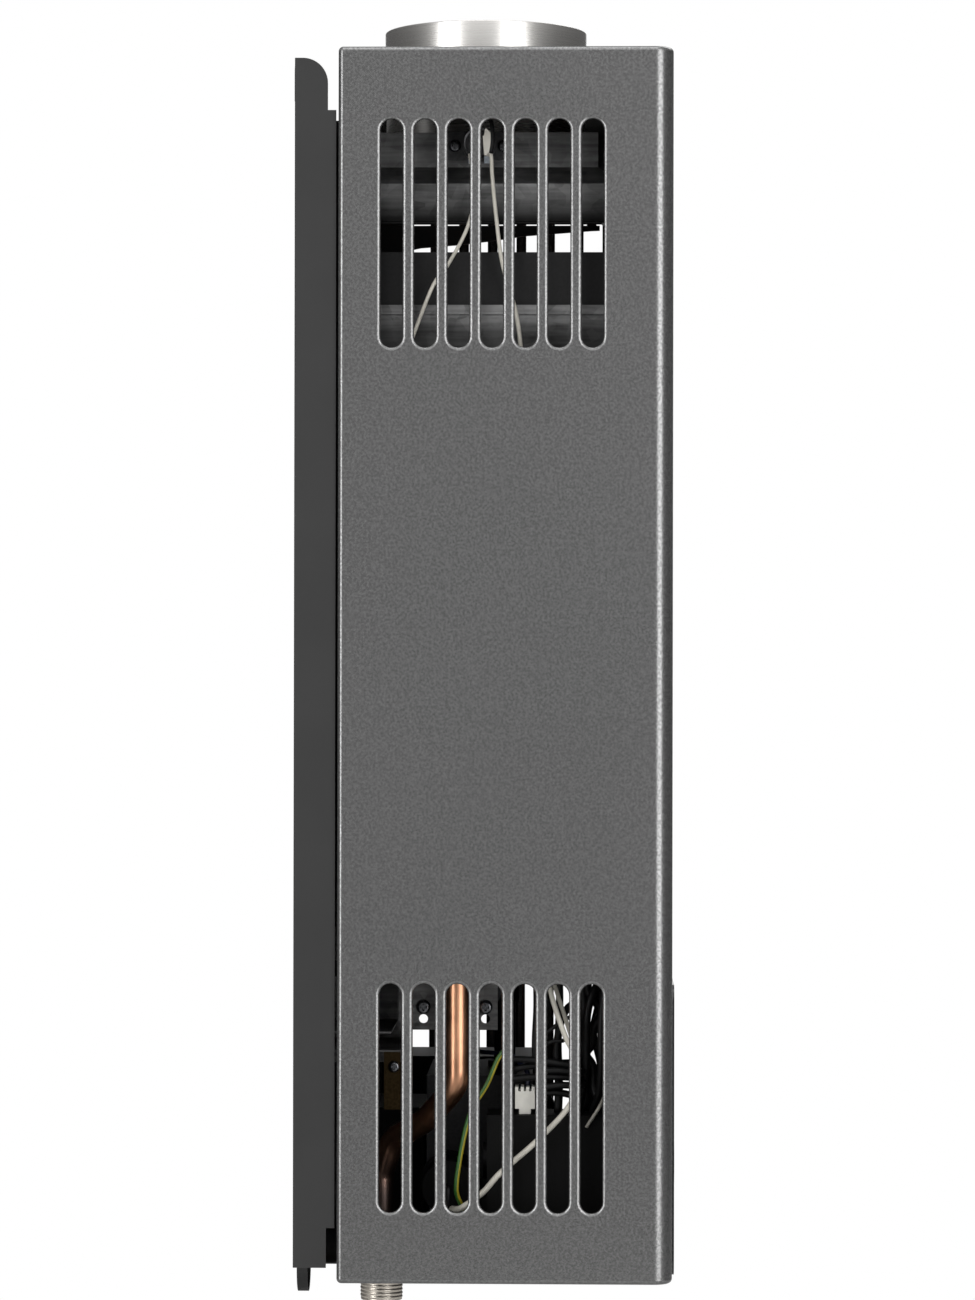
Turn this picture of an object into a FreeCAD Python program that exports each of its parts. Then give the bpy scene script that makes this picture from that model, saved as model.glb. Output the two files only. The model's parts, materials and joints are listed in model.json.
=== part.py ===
import FreeCAD, Part

import math
import os
import re

import Sketcher

# Wall-hung gas water heater with an open flue, in millimetres.
# The frame: X to the right seen from the front, Y into the wall, Z up.
# The origin is the centre of the wall hook's hole, at the wall's surface.
# Inside the heater places are given as x from the middle, b back from the cover's front face
# and u up from the cover's underside.

SIZES = {
    # Outer cover
    "cover_width": 350.0,
    "cover_height": 590.0,
    "cover_depth": 160.0,
    "cover_wall": 0.8,
    "cover_corner": 9.0,
    "cover_bend": 2.6,
    "return_width": 9.0,
    "lip_height": 12.0,
    "floor_flange": 26.0,
    # Air slots in the cover's sides
    "slot_width": 10.5,
    "slot_length": 109.0,
    "slot_pitch": 16.0,
    "slot_count": 7.0,
    "slot_rear": 25.5,
    "slot_drop": 34.7,
    "slot_rise": 34.0,
    # Back plate and wall hanging
    "rear_space": 30.0,
    "standoff": 9.0,
    "plate_wall": 0.8,
    "plate_inset": 4.0,
    "plate_drop": 5.0,
    "plate_rise": 7.0,
    "flange_gap": 1.2,
    "flange_step": 4.0,
    "flange_notch_top": 25.0,
    "flange_notch_foot": 19.0,
    "flange_corner": 12.0,
    "shelf_drop": 34.0,
    "shelf_depth": 26.0,
    "hook_rise": 4.0,
    "hook_radius": 4.5,
    "hook_rim": 8.5,
    "tab_half": 45.0,
    "tab_corner": 8.0,
    "tab_screw_radius": 2.75,
    "tab_screw_spacing": 60.0,
    "catch_offset": 118.0,
    "catch_width": 16.0,
    "catch_gap": 0.4,
    "lug_radius": 14.0,
    "lug_depth": 5.5,
    "lug_wall": 1.0,
    "lug_reach": 29.0,
    "lug_hole_radius": 3.0,
    "rib_offset": 96.0,
    "rib_width": 18.0,
    "rib_height": 2.2,
    # Bottom plate
    "tray_rise": 8.2,
    "tray_wall": 0.8,
    "tray_side_gap": 0.5,
    "tray_front": 12.0,
    "tray_gap": 0.3,
    # Flue collar and hood
    "collar_radius": 52.0,
    "collar_wall": 0.8,
    "collar_neck": 0.6,
    "collar_chamfer": 0.4,
    "collar_above": 31.0,
    "collar_back": 94.0,
    "collar_cutout_gap": 2.5,
    "collar_rim": 5.0,
    "hood_drop": 35.0,
    "hood_upper_height": 17.0,
    "hood_slope_height": 10.0,
    "hood_skirt_height": 19.0,
    "hood_gap": 33.0,
    "hood_slope_width": 18.0,
    "relief_inset": 8.5,
    "hood_front": 24.0,
    "hood_rear": 156.0,
    "hood_inset": 12.0,
    "hood_wall": 0.7,
    "strap_width": 6.0,
    "baffle_front": 35.0,
    "baffle_rear": 149.2,
    "baffle_rise": 13.2,
    "baffle_tab": 5.0,
    "baffle_lip": 1.2,
    # Heat exchanger
    "exchanger_drop": 95.5,
    "exchanger_height": 27.5,
    "exchanger_gap": 30.0,
    "exchanger_front": 26.0,
    "exchanger_rear": 148.0,
    "exchanger_wall": 1.0,
    "exchanger_flange": 3.0,
    "core_gap": 56.0,
    "fin_count": 22.0,
    "fin_margin": 11.9,
    "fin_wall": 0.6,
    "tube_radius": 6.0,
    "tube_pitch": 20.0,
    # Combustion chamber and burner
    "chamber_gap": 57.0,
    "chamber_front": 40.0,
    "chamber_rear": 144.0,
    "chamber_wall": 0.8,
    "burner_rim": 12.0,
    "burner_foot": 150.0,
    "bar_count": 12.0,
    "bar_margin": 19.0,
    "bar_length": 92.0,
    "bar_head": 10.0,
    "bar_neck": 4.0,
    "bar_height": 42.0,
    "bar_rise": 172.0,
    "bracket_wall": 1.0,
    "bracket_foot": 116.4,
    "bracket_front": 84.5,
    "bracket_cut": 133.0,
    "shelf_rise": 107.0,
    "shelf_pitch": 9.0,
    # Gas path
    "manifold_radius": 9.0,
    "manifold_rise": 135.0,
    "nozzle_radius": 3.5,
    "valve_back": 92.0,
    "valve_rise": 50.0,
    "gas_valve_radius": 20.0,
    "gas_valve_left": 96.0,
    "gas_valve_right": 24.0,
    "gas_block_top": 42.0,
    "gas_block_drop": 5.0,
    "riser_offset": 45.0,
    "riser_back": 82.5,
    "riser_radius": 5.4,
    "solenoid_radius": 13.0,
    "solenoid_length": 30.0,
    # Water valve
    "diaphragm_radius": 36.0,
    "diaphragm_left": 47.0,
    "water_cover_length": 12.0,
    "diaphragm_wall": 2.0,
    "water_flange_length": 12.0,
    "water_block_width": 54.0,
    "water_block_drop": 19.0,
    "water_block_top": 37.0,
    "water_block_front": 68.0,
    "water_block_rear": 150.0,
    "outlet_back": 110.0,
    "rod_radius": 2.5,
    "rod_collar_radius": 6.0,
    "rod_travel": 3.0,
    # Knobs
    "knob_spacing": 90.0,
    "knob_radius": 19.0,
    "knob_length": 14.0,
    "knob_proud": 1.0,
    "spindle_radius": 4.0,
    "dish_radius": 27.0,
    "dish_depth": 15.0,
    "dish_wall": 1.5,
    "running_fit": 0.05,
    "flute_count": 18.0,
    # Front panel
    "fascia_gap": 20.0,
    "fascia_foot": 1.5,
    "fascia_top": 141.0,
    "fascia_wall": 1.2,
    "fascia_corner": 7.0,
    "window_half": 30.0,
    "window_height": 24.0,
    "window_rise": 98.0,
    # Water and gas connections
    "nipple_radius": 10.48,
    "nipple_bore": 7.5,
    "nipple_reach": 18.0,
    "nipple_back": 142.0,
    "nipple_thread": 16.0,
    "nipple_neck": 9.9,
    "nipple_top": 18.0,
    "water_spacing": 200.0,
    "gas_offset": 10.0,
    "pipe_radius": 6.0,
    "pipe_gap": 41.0,
    "hot_pipe_back": 103.7,
    "gas_pipe_radius": 7.5,
    "nut_radius": 13.5,
    "nut_height": 12.0,
    "grommet_wall": 3.0,
    "grommet_height": 4.0,
    # Battery box
    "battery_left": 78.0,
    "battery_right": 8.0,
    "battery_front": 122.0,
    "battery_rear": 160.0,
    "battery_top": 74.0,
    "battery_wall": 1.6,
    "battery_door_wall": 2.0,
    # Electrical parts
    "module_gap": 60.0,
    "module_front": 28.0,
    "module_length": 61.0,
    "module_width": 30.0,
    "module_height": 68.5,
    "electrode_offset": 16.0,
    "electrode_radius": 3.0,
    "wire_radius": 1.1,
    "lead_radius": 1.6,
}

# Sizes that follow from others, so that the inside keeps its gaps to the cover
LINKED = {
    "hood_skirt_half": "cover_width/2 - hood_gap",
    "hood_upper_half": "hood_skirt_half - hood_slope_width",
    "exchanger_half": "cover_width/2 - exchanger_gap",
    "core_half": "cover_width/2 - core_gap",
    "fin_pitch": "2*(core_half - fin_margin + fin_wall/2)/(fin_count - 1)",
    "chamber_half": "cover_width/2 - chamber_gap",
    "chamber_foot": "bar_rise + bar_height + burner_rim",
    "bar_pitch": "2*(chamber_half - bar_margin)/(bar_count - 1)",
    "hot_pipe_offset": "cover_width/2 - pipe_gap",
    "fascia_half": "cover_width/2 - fascia_gap",
    "module_right": "cover_width/2 - module_gap",
}

document = FreeCAD.newDocument("gas_water_heater")
sheet = document.addObject("Spreadsheet::Sheet", "Dims")
for line, (size_name, size_value) in enumerate(SIZES.items(), start=1):
    sheet.set("A%d" % line, size_name)
    sheet.set("B%d" % line, str(size_value))
    sheet.setAlias("B%d" % line, size_name)
document.recompute()

Vector = FreeCAD.Vector
FRONT = "(-rear_space - cover_depth)"
BASE = "(-hook_rise - cover_height)"
TOP = "cover_height"
ELECTRODE_U = "(bar_rise + bar_height + 5)"
OVERHEAT_U = "(cover_height - exchanger_drop - exchanger_height - 40)"
nodes = []
inner_screws = []


def sized(text):
    """The expression with the sheet's name put before each of its sizes."""
    def written(found):
        name = found.group(0)
        if name in LINKED:
            return "(%s)" % sized(LINKED[name])
        return "Dims." + name if name in SIZES else name
    return re.sub(r"[a-z][a-z_]*", written, str(text))


def number(text):
    """What the expression comes to with the sheet's present sizes."""
    return float(sheet.evalExpression(sized(text)))


def bind(thing, **places):
    """Ties properties of an object to expressions."""
    for name, text in places.items():
        thing.setExpression(name.replace("__", "."), sized(text))


def keep(thing, label):
    """Names an object as one of the heater's own pieces."""
    thing.Label = label
    nodes.append(thing)
    return thing


def new_body(label):
    """An empty body whose corner is the cover's front and underside."""
    body = document.addObject("PartDesign::Body", label)
    bind(body, Placement__Base__y=FRONT, Placement__Base__z=BASE)
    return keep(body, label)


def new_sketch(body, role, offset="0"):
    """A sketch on one of the body's origin planes, moved along that plane's normal."""
    sketch = body.newObject("Sketcher::SketchObject", body.Label + "_sketch")
    plane = [item for item in body.Origin.OriginFeatures if item.Role == role][0]
    sketch.AttachmentSupport = (plane, [""])
    sketch.MapMode = "FlatFace"
    bind(sketch, AttachmentOffset__Base__z=offset)
    return sketch


def constrain(sketch, plain, sized_ones):
    """Adds constraints; each sized one is its kind, where it holds and its expression."""
    sketch.addConstraint([Sketcher.Constraint(*one) for one in plain])
    made = [Sketcher.Constraint(*where, number(text)) for where, text in sized_ones]
    for index, (where, text) in zip(sketch.addConstraint(made), sized_ones):
        sketch.setExpression("Constraints[%d]" % index, sized(text))


def at_point(geometry, end, x, y):
    """The two constraints that hold one point of a sketch."""
    return [(("DistanceX", -1, 1, geometry, end), x), (("DistanceY", -1, 1, geometry, end), y)]


def polygon(sketch, corners):
    """A closed outline of straight lines through the corners."""
    first = sketch.GeometryCount
    count = len(corners)
    spots = [Vector(number(x), number(y), 0) for x, y in corners]
    for index in range(count):
        sketch.addGeometry(Part.LineSegment(spots[index], spots[(index + 1) % count]), False)
    joins = [("Coincident", first + i, 2, first + (i + 1) % count, 1) for i in range(count)]
    held = []
    for index, (x, y) in enumerate(corners):
        held += at_point(first + index, 1, x, y)
    constrain(sketch, joins, held)


def rectangle(sketch, left, right, low, high):
    """A rectangle between two sides and two levels."""
    polygon(sketch, [(left, low), (right, low), (right, high), (left, high)])


def round_rectangle(sketch, left, right, low, high, low_radius, high_radius):
    """A rectangle whose two low and two high corners are rounded."""
    first = sketch.GeometryCount
    west, east, south, north = number(left), number(right), number(low), number(high)
    small, large = number(low_radius), number(high_radius)
    arcs = [
        (east - small, south + small, small, -0.5),
        (east - large, north - large, large, 0.0),
        (west + large, north - large, large, 0.5),
        (west + small, south + small, small, 1.0),
    ]
    ends = []
    for x, y, radius, start in arcs:
        whole = Part.Circle(Vector(x, y, 0), Vector(0, 0, 1), radius)
        arc = Part.ArcOfCircle(whole, start * math.pi, (start + 0.5) * math.pi)
        sketch.addGeometry(arc, False)
        ends.append((arc.StartPoint, arc.EndPoint))
    for index in range(4):
        sketch.addGeometry(Part.LineSegment(ends[index][1], ends[(index + 1) % 4][0]), False)
    joins = []
    for index in range(4):
        line = first + 4 + index
        joins.append(("Tangent", first + index, 2, line, 1))
        joins.append(("Tangent", line, 2, first + (index + 1) % 4, 1))
    joins += [("Vertical", first + 4), ("Horizontal", first + 5)]
    joins += [("Vertical", first + 6), ("Horizontal", first + 7)]
    joins += [("Equal", first, first + 3), ("Equal", first + 1, first + 2)]
    held = [
        (("DistanceX", -1, 1, first + 4, 1), right),
        (("DistanceY", -1, 1, first + 5, 1), high),
        (("DistanceX", -1, 1, first + 6, 1), left),
        (("DistanceY", -1, 1, first + 7, 1), low),
        (("Radius", first), low_radius),
        (("Radius", first + 1), high_radius),
    ]
    constrain(sketch, joins, held)


def circle(sketch, x, y, radius):
    """A circle held by its centre and radius."""
    centre = Vector(number(x), number(y), 0)
    index = sketch.addGeometry(Part.Circle(centre, Vector(0, 0, 1), number(radius)), False)
    constrain(sketch, [], at_point(index, 3, x, y) + [(("Radius", index), radius)])


def slot(sketch, x, y_low, y_high, radius):
    """An upright slot with round ends, between the centres of its two ends."""
    first = sketch.GeometryCount
    middle, low, high, size = number(x), number(y_low), number(y_high), number(radius)
    normal = Vector(0, 0, 1)
    upper = Part.Circle(Vector(middle, high, 0), normal, size)
    lower = Part.Circle(Vector(middle, low, 0), normal, size)
    sketch.addGeometry(Part.ArcOfCircle(upper, 0, math.pi), False)
    sketch.addGeometry(Part.ArcOfCircle(lower, math.pi, 2 * math.pi), False)
    left_line = (Vector(middle - size, high, 0), Vector(middle - size, low, 0))
    right_line = (Vector(middle + size, low, 0), Vector(middle + size, high, 0))
    sketch.addGeometry(Part.LineSegment(*left_line), False)
    sketch.addGeometry(Part.LineSegment(*right_line), False)
    joins = [
        ("Tangent", first, 2, first + 2, 1),
        ("Tangent", first + 2, 2, first + 1, 1),
        ("Tangent", first + 1, 2, first + 3, 1),
        ("Tangent", first + 3, 2, first, 1),
        ("Equal", first, first + 1),
    ]
    held = at_point(first, 3, x, y_high) + at_point(first + 1, 3, x, y_low)
    constrain(sketch, joins, held + [(("Radius", first), radius)])


def feature(body, kind, profile, length="", reverse=False, symmetric=False, through=False):
    """A pad or pocket of one sketch."""
    made = body.newObject("PartDesign::" + kind, body.Label + "_" + kind.lower())
    made.Profile = (profile, [""])
    if length:
        bind(made, Length=length)
    if through:
        made.Type = "ThroughAll"
    if symmetric:
        made.SideType = "Symmetric"
    made.Reversed = reverse
    profile.Visibility = False
    return made


def pad(body, profile, length, **how):
    """Adds a sketch's outline as a solid."""
    return feature(body, "Pad", profile, length, **how)


def pocket(body, profile, length="", **how):
    """Takes a sketch's outline away and checks that something was cut."""
    return feature(body, "Pocket", profile, length, **how)


def row(body, original, axis, count, pitch):
    """Repeats a feature along one of the body's axes."""
    pattern = body.newObject("PartDesign::LinearPattern", body.Label + "_row")
    pattern.Originals = [original]
    direction = [item for item in body.Origin.OriginFeatures if item.Role == axis][0]
    pattern.Direction = (direction, [""])
    pattern.Mode = "Spacing"
    bind(pattern, Offset=pitch, Occurrences=count)
    body.Tip = pattern
    return pattern


def ring_of(body, original, axis, count):
    """Repeats a feature round one of the body's axes."""
    pattern = body.newObject("PartDesign::PolarPattern", body.Label + "_ring")
    pattern.Originals = [original]
    pattern.Axis = ([item for item in body.Origin.OriginFeatures if item.Role == axis][0], [""])
    pattern.Angle = 360
    bind(pattern, Occurrences=count)
    body.Tip = pattern
    return pattern


def revolve(body, profile, axis="V_Axis"):
    """Turns a sketch's outline once round its own axis."""
    made = body.newObject("PartDesign::Revolution", body.Label + "_revolution")
    made.Profile = (profile, [""])
    made.ReferenceAxis = (profile, [axis])
    made.Angle = 360
    profile.Visibility = False
    return made


def fillet(body, radius, wanted):
    """Rounds the edges of the body so far that the test wants."""
    document.recompute()
    base = body.Tip
    picked = ["Edge%d" % (i + 1) for i, edge in enumerate(base.Shape.Edges) if wanted(edge)]
    made = body.newObject("PartDesign::Fillet", body.Label + "_fillet")
    made.Base = (base, picked)
    bind(made, Radius=radius)
    return made


def upright(edge):
    """Whether an edge is a straight line along Z."""
    ends = edge.Vertexes[-1].Point - edge.Vertexes[0].Point
    return abs(ends.z) > 0.5 and abs(ends.x) + abs(ends.y) < 0.001


def along(edge, axis):
    """Whether an edge is a straight line along the named axis."""
    ends = edge.Vertexes[-1].Point - edge.Vertexes[0].Point
    others = [abs(getattr(ends, name)) for name in "xyz" if name != axis]
    return abs(getattr(ends, axis)) > 0.3 and sum(others) < 0.001


def box(x, b, u):
    """A box between pairs of x, b and u."""
    made = document.addObject("Part::Box", "box")
    spans = zip(("Length", "Width", "Height"), (x, b, u))
    for name, (low, high) in spans:
        made.setExpression(name, sized("(%s) - (%s)" % (high, low)))
    bind(made, Placement__Base__x=x[0])
    bind(made, Placement__Base__y="%s + %s" % (b[0], FRONT))
    bind(made, Placement__Base__z="%s + %s" % (u[0], BASE))
    return made


TURNS = {
    "x": FreeCAD.Rotation(Vector(0, 1, 0), 90),
    "y": FreeCAD.Rotation(Vector(1, 0, 0), -90),
    "z": FreeCAD.Rotation(),
    "-x": FreeCAD.Rotation(Vector(0, 1, 0), -90),
    "-y": FreeCAD.Rotation(Vector(1, 0, 0), 90),
    "-z": FreeCAD.Rotation(Vector(1, 0, 0), 180),
}


def rod(axis, radius, length, x, b, u):
    """A round bar that starts at a place and runs along an axis."""
    made = document.addObject("Part::Cylinder", "rod")
    made.Placement = FreeCAD.Placement(Vector(), TURNS[axis])
    bind(made, Radius=radius, Height=length, Placement__Base__x=x)
    bind(made, Placement__Base__y="%s + %s" % (b, FRONT))
    bind(made, Placement__Base__z="%s + %s" % (u, BASE))
    return made


def hexagon(axis, radius, length, x, b, u):
    """A hexagon bar, such as a nut, measured across its corners."""
    made = document.addObject("Part::Prism", "hexagon")
    made.Polygon = 6
    made.Placement = FreeCAD.Placement(Vector(), TURNS[axis])
    bind(made, Circumradius=radius, Height=length, Placement__Base__x=x)
    bind(made, Placement__Base__y="%s + %s" % (b, FRONT))
    bind(made, Placement__Base__z="%s + %s" % (u, BASE))
    return made


def fused(parts):
    """Several touching solids as one."""
    made = document.addObject("Part::MultiFuse", "fused")
    made.Shapes = parts
    made.Refine = True
    return made


def minus(base, tools):
    """A solid less one or more others."""
    made = document.addObject("Part::Cut", "cut")
    made.Base = base
    made.Tool = tools[0] if len(tools) == 1 else fused(tools)
    return made


def group(parts):
    """Separate solids of one kind kept together."""
    made = document.addObject("Part::Compound", "group")
    made.Links = parts
    return made


def spot(x, b, u):
    """A point of the model's frame from x, b and u."""
    return Vector(number(x), number("%s + %s" % (b, FRONT)), number("%s + %s" % (u, BASE)))


def rounded_path(points, bend):
    """Straight runs joined by arcs that are tangent to both."""
    edges = []
    start = points[0]
    for before, corner, after in zip(points, points[1:], points[2:]):
        toward = (before - corner).normalize()
        onward = (after - corner).normalize()
        half_turn = (math.pi - toward.getAngle(onward)) / 2
        shorter = min((before - corner).Length, (after - corner).Length)
        radius = min(bend, 0.45 * shorter / math.tan(half_turn))
        trim = radius * math.tan(half_turn)
        entry = corner + toward * trim
        leave = corner + onward * trim
        inward = (toward + onward).normalize()
        middle = corner + inward * (radius / math.cos(half_turn) - radius)
        edges.append(Part.LineSegment(start, entry).toShape())
        edges.append(Part.Arc(entry, middle, leave).toShape())
        start = leave
    edges.append(Part.LineSegment(start, points[-1]).toShape())
    return Part.Wire(edges)


def swept(points, radius, bend):
    """A round bar bent along a route of points."""
    path = rounded_path(points, bend)
    section = Part.Wire(Part.Circle(points[0], points[1] - points[0], radius).toShape())
    solid = path.makePipeShell([section], True, False)
    solid = Part.Solid(Part.Shell(solid.Faces)) if solid.ShapeType != "Solid" else solid
    expected = math.pi * radius * radius * path.Length
    if abs(solid.Volume - expected) > 0.01 * expected:
        raise RuntimeError("a bent bar has the wrong volume")
    return solid


def shaped(label, solids):
    """A piece whose solids are worked out from the sheet in this file."""
    made = document.addObject("Part::Feature", label)
    made.Shape = solids[0] if len(solids) == 1 else Part.makeCompound(solids)
    return keep(made, label)


def screw(axis, x, b, u, head=3.5, shank=2.0, length=6.0, head_height=2.4):
    """A pan-head screw whose head stands on a surface and whose shank runs along the axis."""
    out = {"z": "-z", "-z": "z", "x": "-x", "-x": "x", "y": "-y", "-y": "y"}[axis]
    sign = -1 if out.startswith("-") else 1
    place = {"x": x, "b": b, "u": u}
    key = {"x": "x", "y": "b", "z": "u"}[axis[-1]]
    low = dict(place)
    low[key] = "%s + %s" % (place[key], 0 if sign > 0 else -head_height)
    cap = rod(axis[-1], head, head_height, low["x"], low["b"], low["u"])
    inner = dict(place)
    inner[key] = "%s + %s" % (place[key], -length if sign > 0 else 0)
    bar = rod(axis[-1], shank, length, inner["x"], inner["b"], inner["u"])
    return fused([cap, bar])


def make_front_cover():
    """Bent sheet cover with slots in its sides, open at the back."""
    body = new_body("front_cover")
    half = "cover_width/2"
    outer = new_sketch(body, "XY_Plane")
    round_rectangle(outer, "-" + half, half, "0", "cover_depth", "cover_corner", "cover_bend")
    pad(body, outer, TOP)
    inner = "(cover_width/2 - cover_wall)"
    hollow = new_sketch(body, "XY_Plane", "cover_wall")
    round_rectangle(hollow, "-" + inner, inner, "cover_wall", "cover_depth - cover_wall",
                    "cover_corner - cover_wall", "cover_bend - cover_wall")
    pocket(body, hollow, TOP + " - 2*cover_wall", reverse=True)
    back = new_sketch(body, "XZ_Plane", "-cover_depth")
    mouth = "cover_width/2 - return_width"
    rectangle(back, "-" + mouth, mouth, "floor_flange/4", TOP + " - lip_height")
    pocket(body, back, "cover_wall*2", reverse=True)
    roof = new_sketch(body, "XY_Plane", TOP)
    circle(roof, "0", "collar_back", "collar_radius + collar_cutout_gap")
    pocket(body, roof, "cover_wall*2")
    way_in = new_sketch(body, "XY_Plane", TOP)
    gap = "(collar_radius + collar_cutout_gap)"
    rectangle(way_in, "-" + gap, gap, "collar_back", "cover_depth")
    pocket(body, way_in, "lip_height + 1")
    floor = new_sketch(body, "XY_Plane", "0")
    opening = "cover_width/2 - floor_flange"
    rectangle(floor, "-(%s)" % opening, opening, "floor_flange", "cover_depth")
    pocket(body, floor, "floor_flange/4", reverse=True)
    slots = new_sketch(body, "YZ_Plane")
    first_back = "cover_depth - slot_rear - (slot_count - 1)*slot_pitch"
    end = "slot_width/2"
    slot(slots, first_back, "slot_rise + " + end, "slot_rise + slot_length - " + end, end)
    lower = pocket(body, slots, symmetric=True, through=True)
    row(body, lower, "Y_Axis", "slot_count", "slot_pitch")
    high = new_sketch(body, "YZ_Plane")
    top_end = TOP + " - slot_drop"
    slot(high, first_back, top_end + " - slot_length + " + end, top_end + " - " + end, end)
    upper = pocket(body, high, symmetric=True, through=True)
    row(body, upper, "Y_Axis", "slot_count", "slot_pitch")
    face = new_sketch(body, "XZ_Plane", "0")
    for place in ("-knob_spacing", "0", "knob_spacing"):
        circle(face, place, "valve_rise", "dish_radius + dish_wall + 0.5")
    low = "window_rise - 2"
    rectangle(face, "-window_half - 2", "window_half + 2", low, "window_rise + window_height + 2")
    pocket(body, face, "cover_wall*2")
    screw_holes = new_sketch(body, "XY_Plane", "0")
    for side in ("-", ""):
        circle(screw_holes, side + "cover_width/4", "floor_flange/2 + 4", "2.2")
    pocket(body, screw_holes, "cover_wall*2", reverse=True)
    return body


def make_back_plate():
    """Pressed back plate with side flanges, the wall hook's tab, the lower lug and its ribs."""
    body = new_body("back_plate")
    wall_b = "(rear_space + cover_depth)"
    panel_b = "(%s - standoff)" % wall_b
    half = "(cover_width/2 - plate_inset)"
    foot = "plate_rise"
    top = "(%s - plate_drop)" % TOP
    panel = new_sketch(body, "XZ_Plane", "-" + panel_b)
    rectangle(panel, "-" + half, half, foot, top)
    pad(body, panel, "plate_wall")
    edge = "(cover_depth + flange_gap)"
    for side in ("-1", "1"):
        narrow = new_sketch(body, "YZ_Plane", "%s*%s" % (side, half))
        low_notch = foot + " + flange_notch_foot"
        high_notch = top + " - flange_notch_top"
        polygon(narrow, [
            (panel_b, foot),
            (panel_b, top),
            (edge + " + flange_step", top),
            (edge + " + flange_step", high_notch),
            (edge, high_notch),
            (edge, low_notch),
            (edge + " + flange_step", low_notch),
            (edge + " + flange_step", foot),
        ])
        pad(body, narrow, "plate_wall", reverse=side == "1")
    top_u = number(top)
    fillet(body, "flange_corner", lambda e: along(e, "x") and abs(e.CenterOfMass.z - top_u) < 0.01
           and e.Length < 2 * number("plate_wall"))
    shelf = new_sketch(body, "XY_Plane", TOP + " - shelf_drop")
    shelf_half = "(cover_width/2 - return_width - 4)"
    rectangle(shelf, "-" + shelf_half, shelf_half, panel_b + " - shelf_depth", panel_b)
    pad(body, shelf, "plate_wall", reverse=True)
    catch = new_sketch(body, "XZ_Plane", "-(cover_depth - cover_wall - catch_gap)")
    for side in ("-", ""):
        left = "%scatch_offset - catch_width/2" % side
        right = "%scatch_offset + catch_width/2" % side
        low = TOP + " - shelf_drop - plate_wall"
        rectangle(catch, left, right, low, TOP + " - cover_wall - 0.3")
    pad(body, catch, "plate_wall")
    step = new_sketch(body, "XY_Plane", top + " - 4")
    rectangle(step, "-tab_half", "tab_half", panel_b + " - plate_wall", wall_b)
    pad(body, step, "plate_wall")
    tab = new_sketch(body, "XZ_Plane", "-" + wall_b)
    rectangle(tab, "-tab_half", "tab_half", top + " - 4", TOP + " + hook_rise + hook_rim")
    pad(body, tab, "plate_wall")
    tab_top = number(TOP + " + hook_rise + hook_rim")
    tab_half = number("tab_half")
    fillet(body, "tab_corner", lambda e: along(e, "y") and abs(e.CenterOfMass.z - tab_top) < 0.01
           and abs(abs(e.CenterOfMass.x) - tab_half) < 0.01)
    holes = new_sketch(body, "XZ_Plane", "-" + wall_b)
    circle(holes, "0", TOP + " + hook_rise", "hook_radius")
    for side in ("-", ""):
        circle(holes, side + "tab_screw_spacing/2", TOP + " + hook_rise", "tab_screw_radius")
    pocket(body, holes, "plate_wall*2", reverse=True)
    foot_shelf = new_sketch(body, "XY_Plane", foot + " + 4")
    rectangle(foot_shelf, "-lug_radius", "lug_radius", panel_b + " - plate_wall", wall_b)
    pad(body, foot_shelf, "plate_wall")
    lug = new_sketch(body, "XZ_Plane", "-" + wall_b)
    slot(lug, "0", "-lug_reach + lug_radius", foot + " + 4 - lug_radius + plate_wall", "lug_radius")
    pad(body, lug, "lug_depth")
    dish = new_sketch(body, "XZ_Plane", "-%s + lug_wall" % wall_b)
    low_end = "-lug_reach + lug_radius"
    slot(dish, "0", low_end, foot + " + 4 - lug_radius + plate_wall", "lug_radius - lug_wall")
    pocket(body, dish, "lug_depth", reverse=True)
    hole = new_sketch(body, "XZ_Plane", "-" + wall_b)
    circle(hole, "0", low_end, "lug_hole_radius")
    pocket(body, hole, "lug_wall*2", reverse=True)
    ribs = new_sketch(body, "XZ_Plane", "-(%s - plate_wall)" % panel_b)
    for side in ("-", ""):
        slot(ribs, side + "rib_offset", foot + " + 60", top + " - 70", "rib_width/2")
    pad(body, ribs, "rib_height")
    return body


def make_bottom_plate():
    """Folded tray that closes the heater below and carries the cover's foot."""
    body = new_body("bottom_plate")
    half = "(cover_width/2 - return_width - tray_side_gap)"
    rear = "(rear_space + cover_depth - standoff - plate_wall)"
    sheet_top = new_sketch(body, "XY_Plane", "tray_rise")
    rectangle(sheet_top, "-" + half, half, "tray_front", rear)
    pad(body, sheet_top, "tray_wall")
    rim = new_sketch(body, "XY_Plane", "tray_rise")
    low = "tray_rise - cover_wall - tray_gap"
    rectangle(rim, "-" + half, half, "tray_front", "tray_front + tray_wall")
    pad(body, rim, low, reverse=True)
    for side in ("-1", "1"):
        wall = new_sketch(body, "YZ_Plane", "%s*%s" % (side, half))
        rectangle(wall, "tray_front", "cover_depth - 4", "cover_wall + tray_gap", "tray_rise + tray_wall")
        pad(body, wall, "tray_wall", reverse=side == "1")
    foot = new_sketch(body, "XY_Plane", "cover_wall + tray_gap")
    for side in ("-", ""):
        centre = side + "cover_width/4"
        rectangle(foot, centre + " - 9", centre + " + 9", "tray_front", "floor_flange - 1")
    pad(body, foot, "tray_wall")
    holes = new_sketch(body, "XY_Plane", "tray_rise")
    pipe_hole = "nut_radius + 3"
    for x in ("-water_spacing/2", "gas_offset", "water_spacing/2"):
        circle(holes, x, "nipple_back", pipe_hole)
    circle(holes, "knob_spacing - 6", "valve_back", "11")
    rectangle(holes, "-battery_left", "-battery_right", "battery_front", "battery_rear")
    pocket(body, holes, "tray_wall*2", reverse=True)
    return body


def make_cover_screws():
    """Two screws up through the cover's floor flange into the tray's feet."""
    places = ("-cover_width/4", "cover_width/4")
    keep(group([screw("z", x, "floor_flange/2 + 4", "0") for x in places]), "cover_screws")


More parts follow.
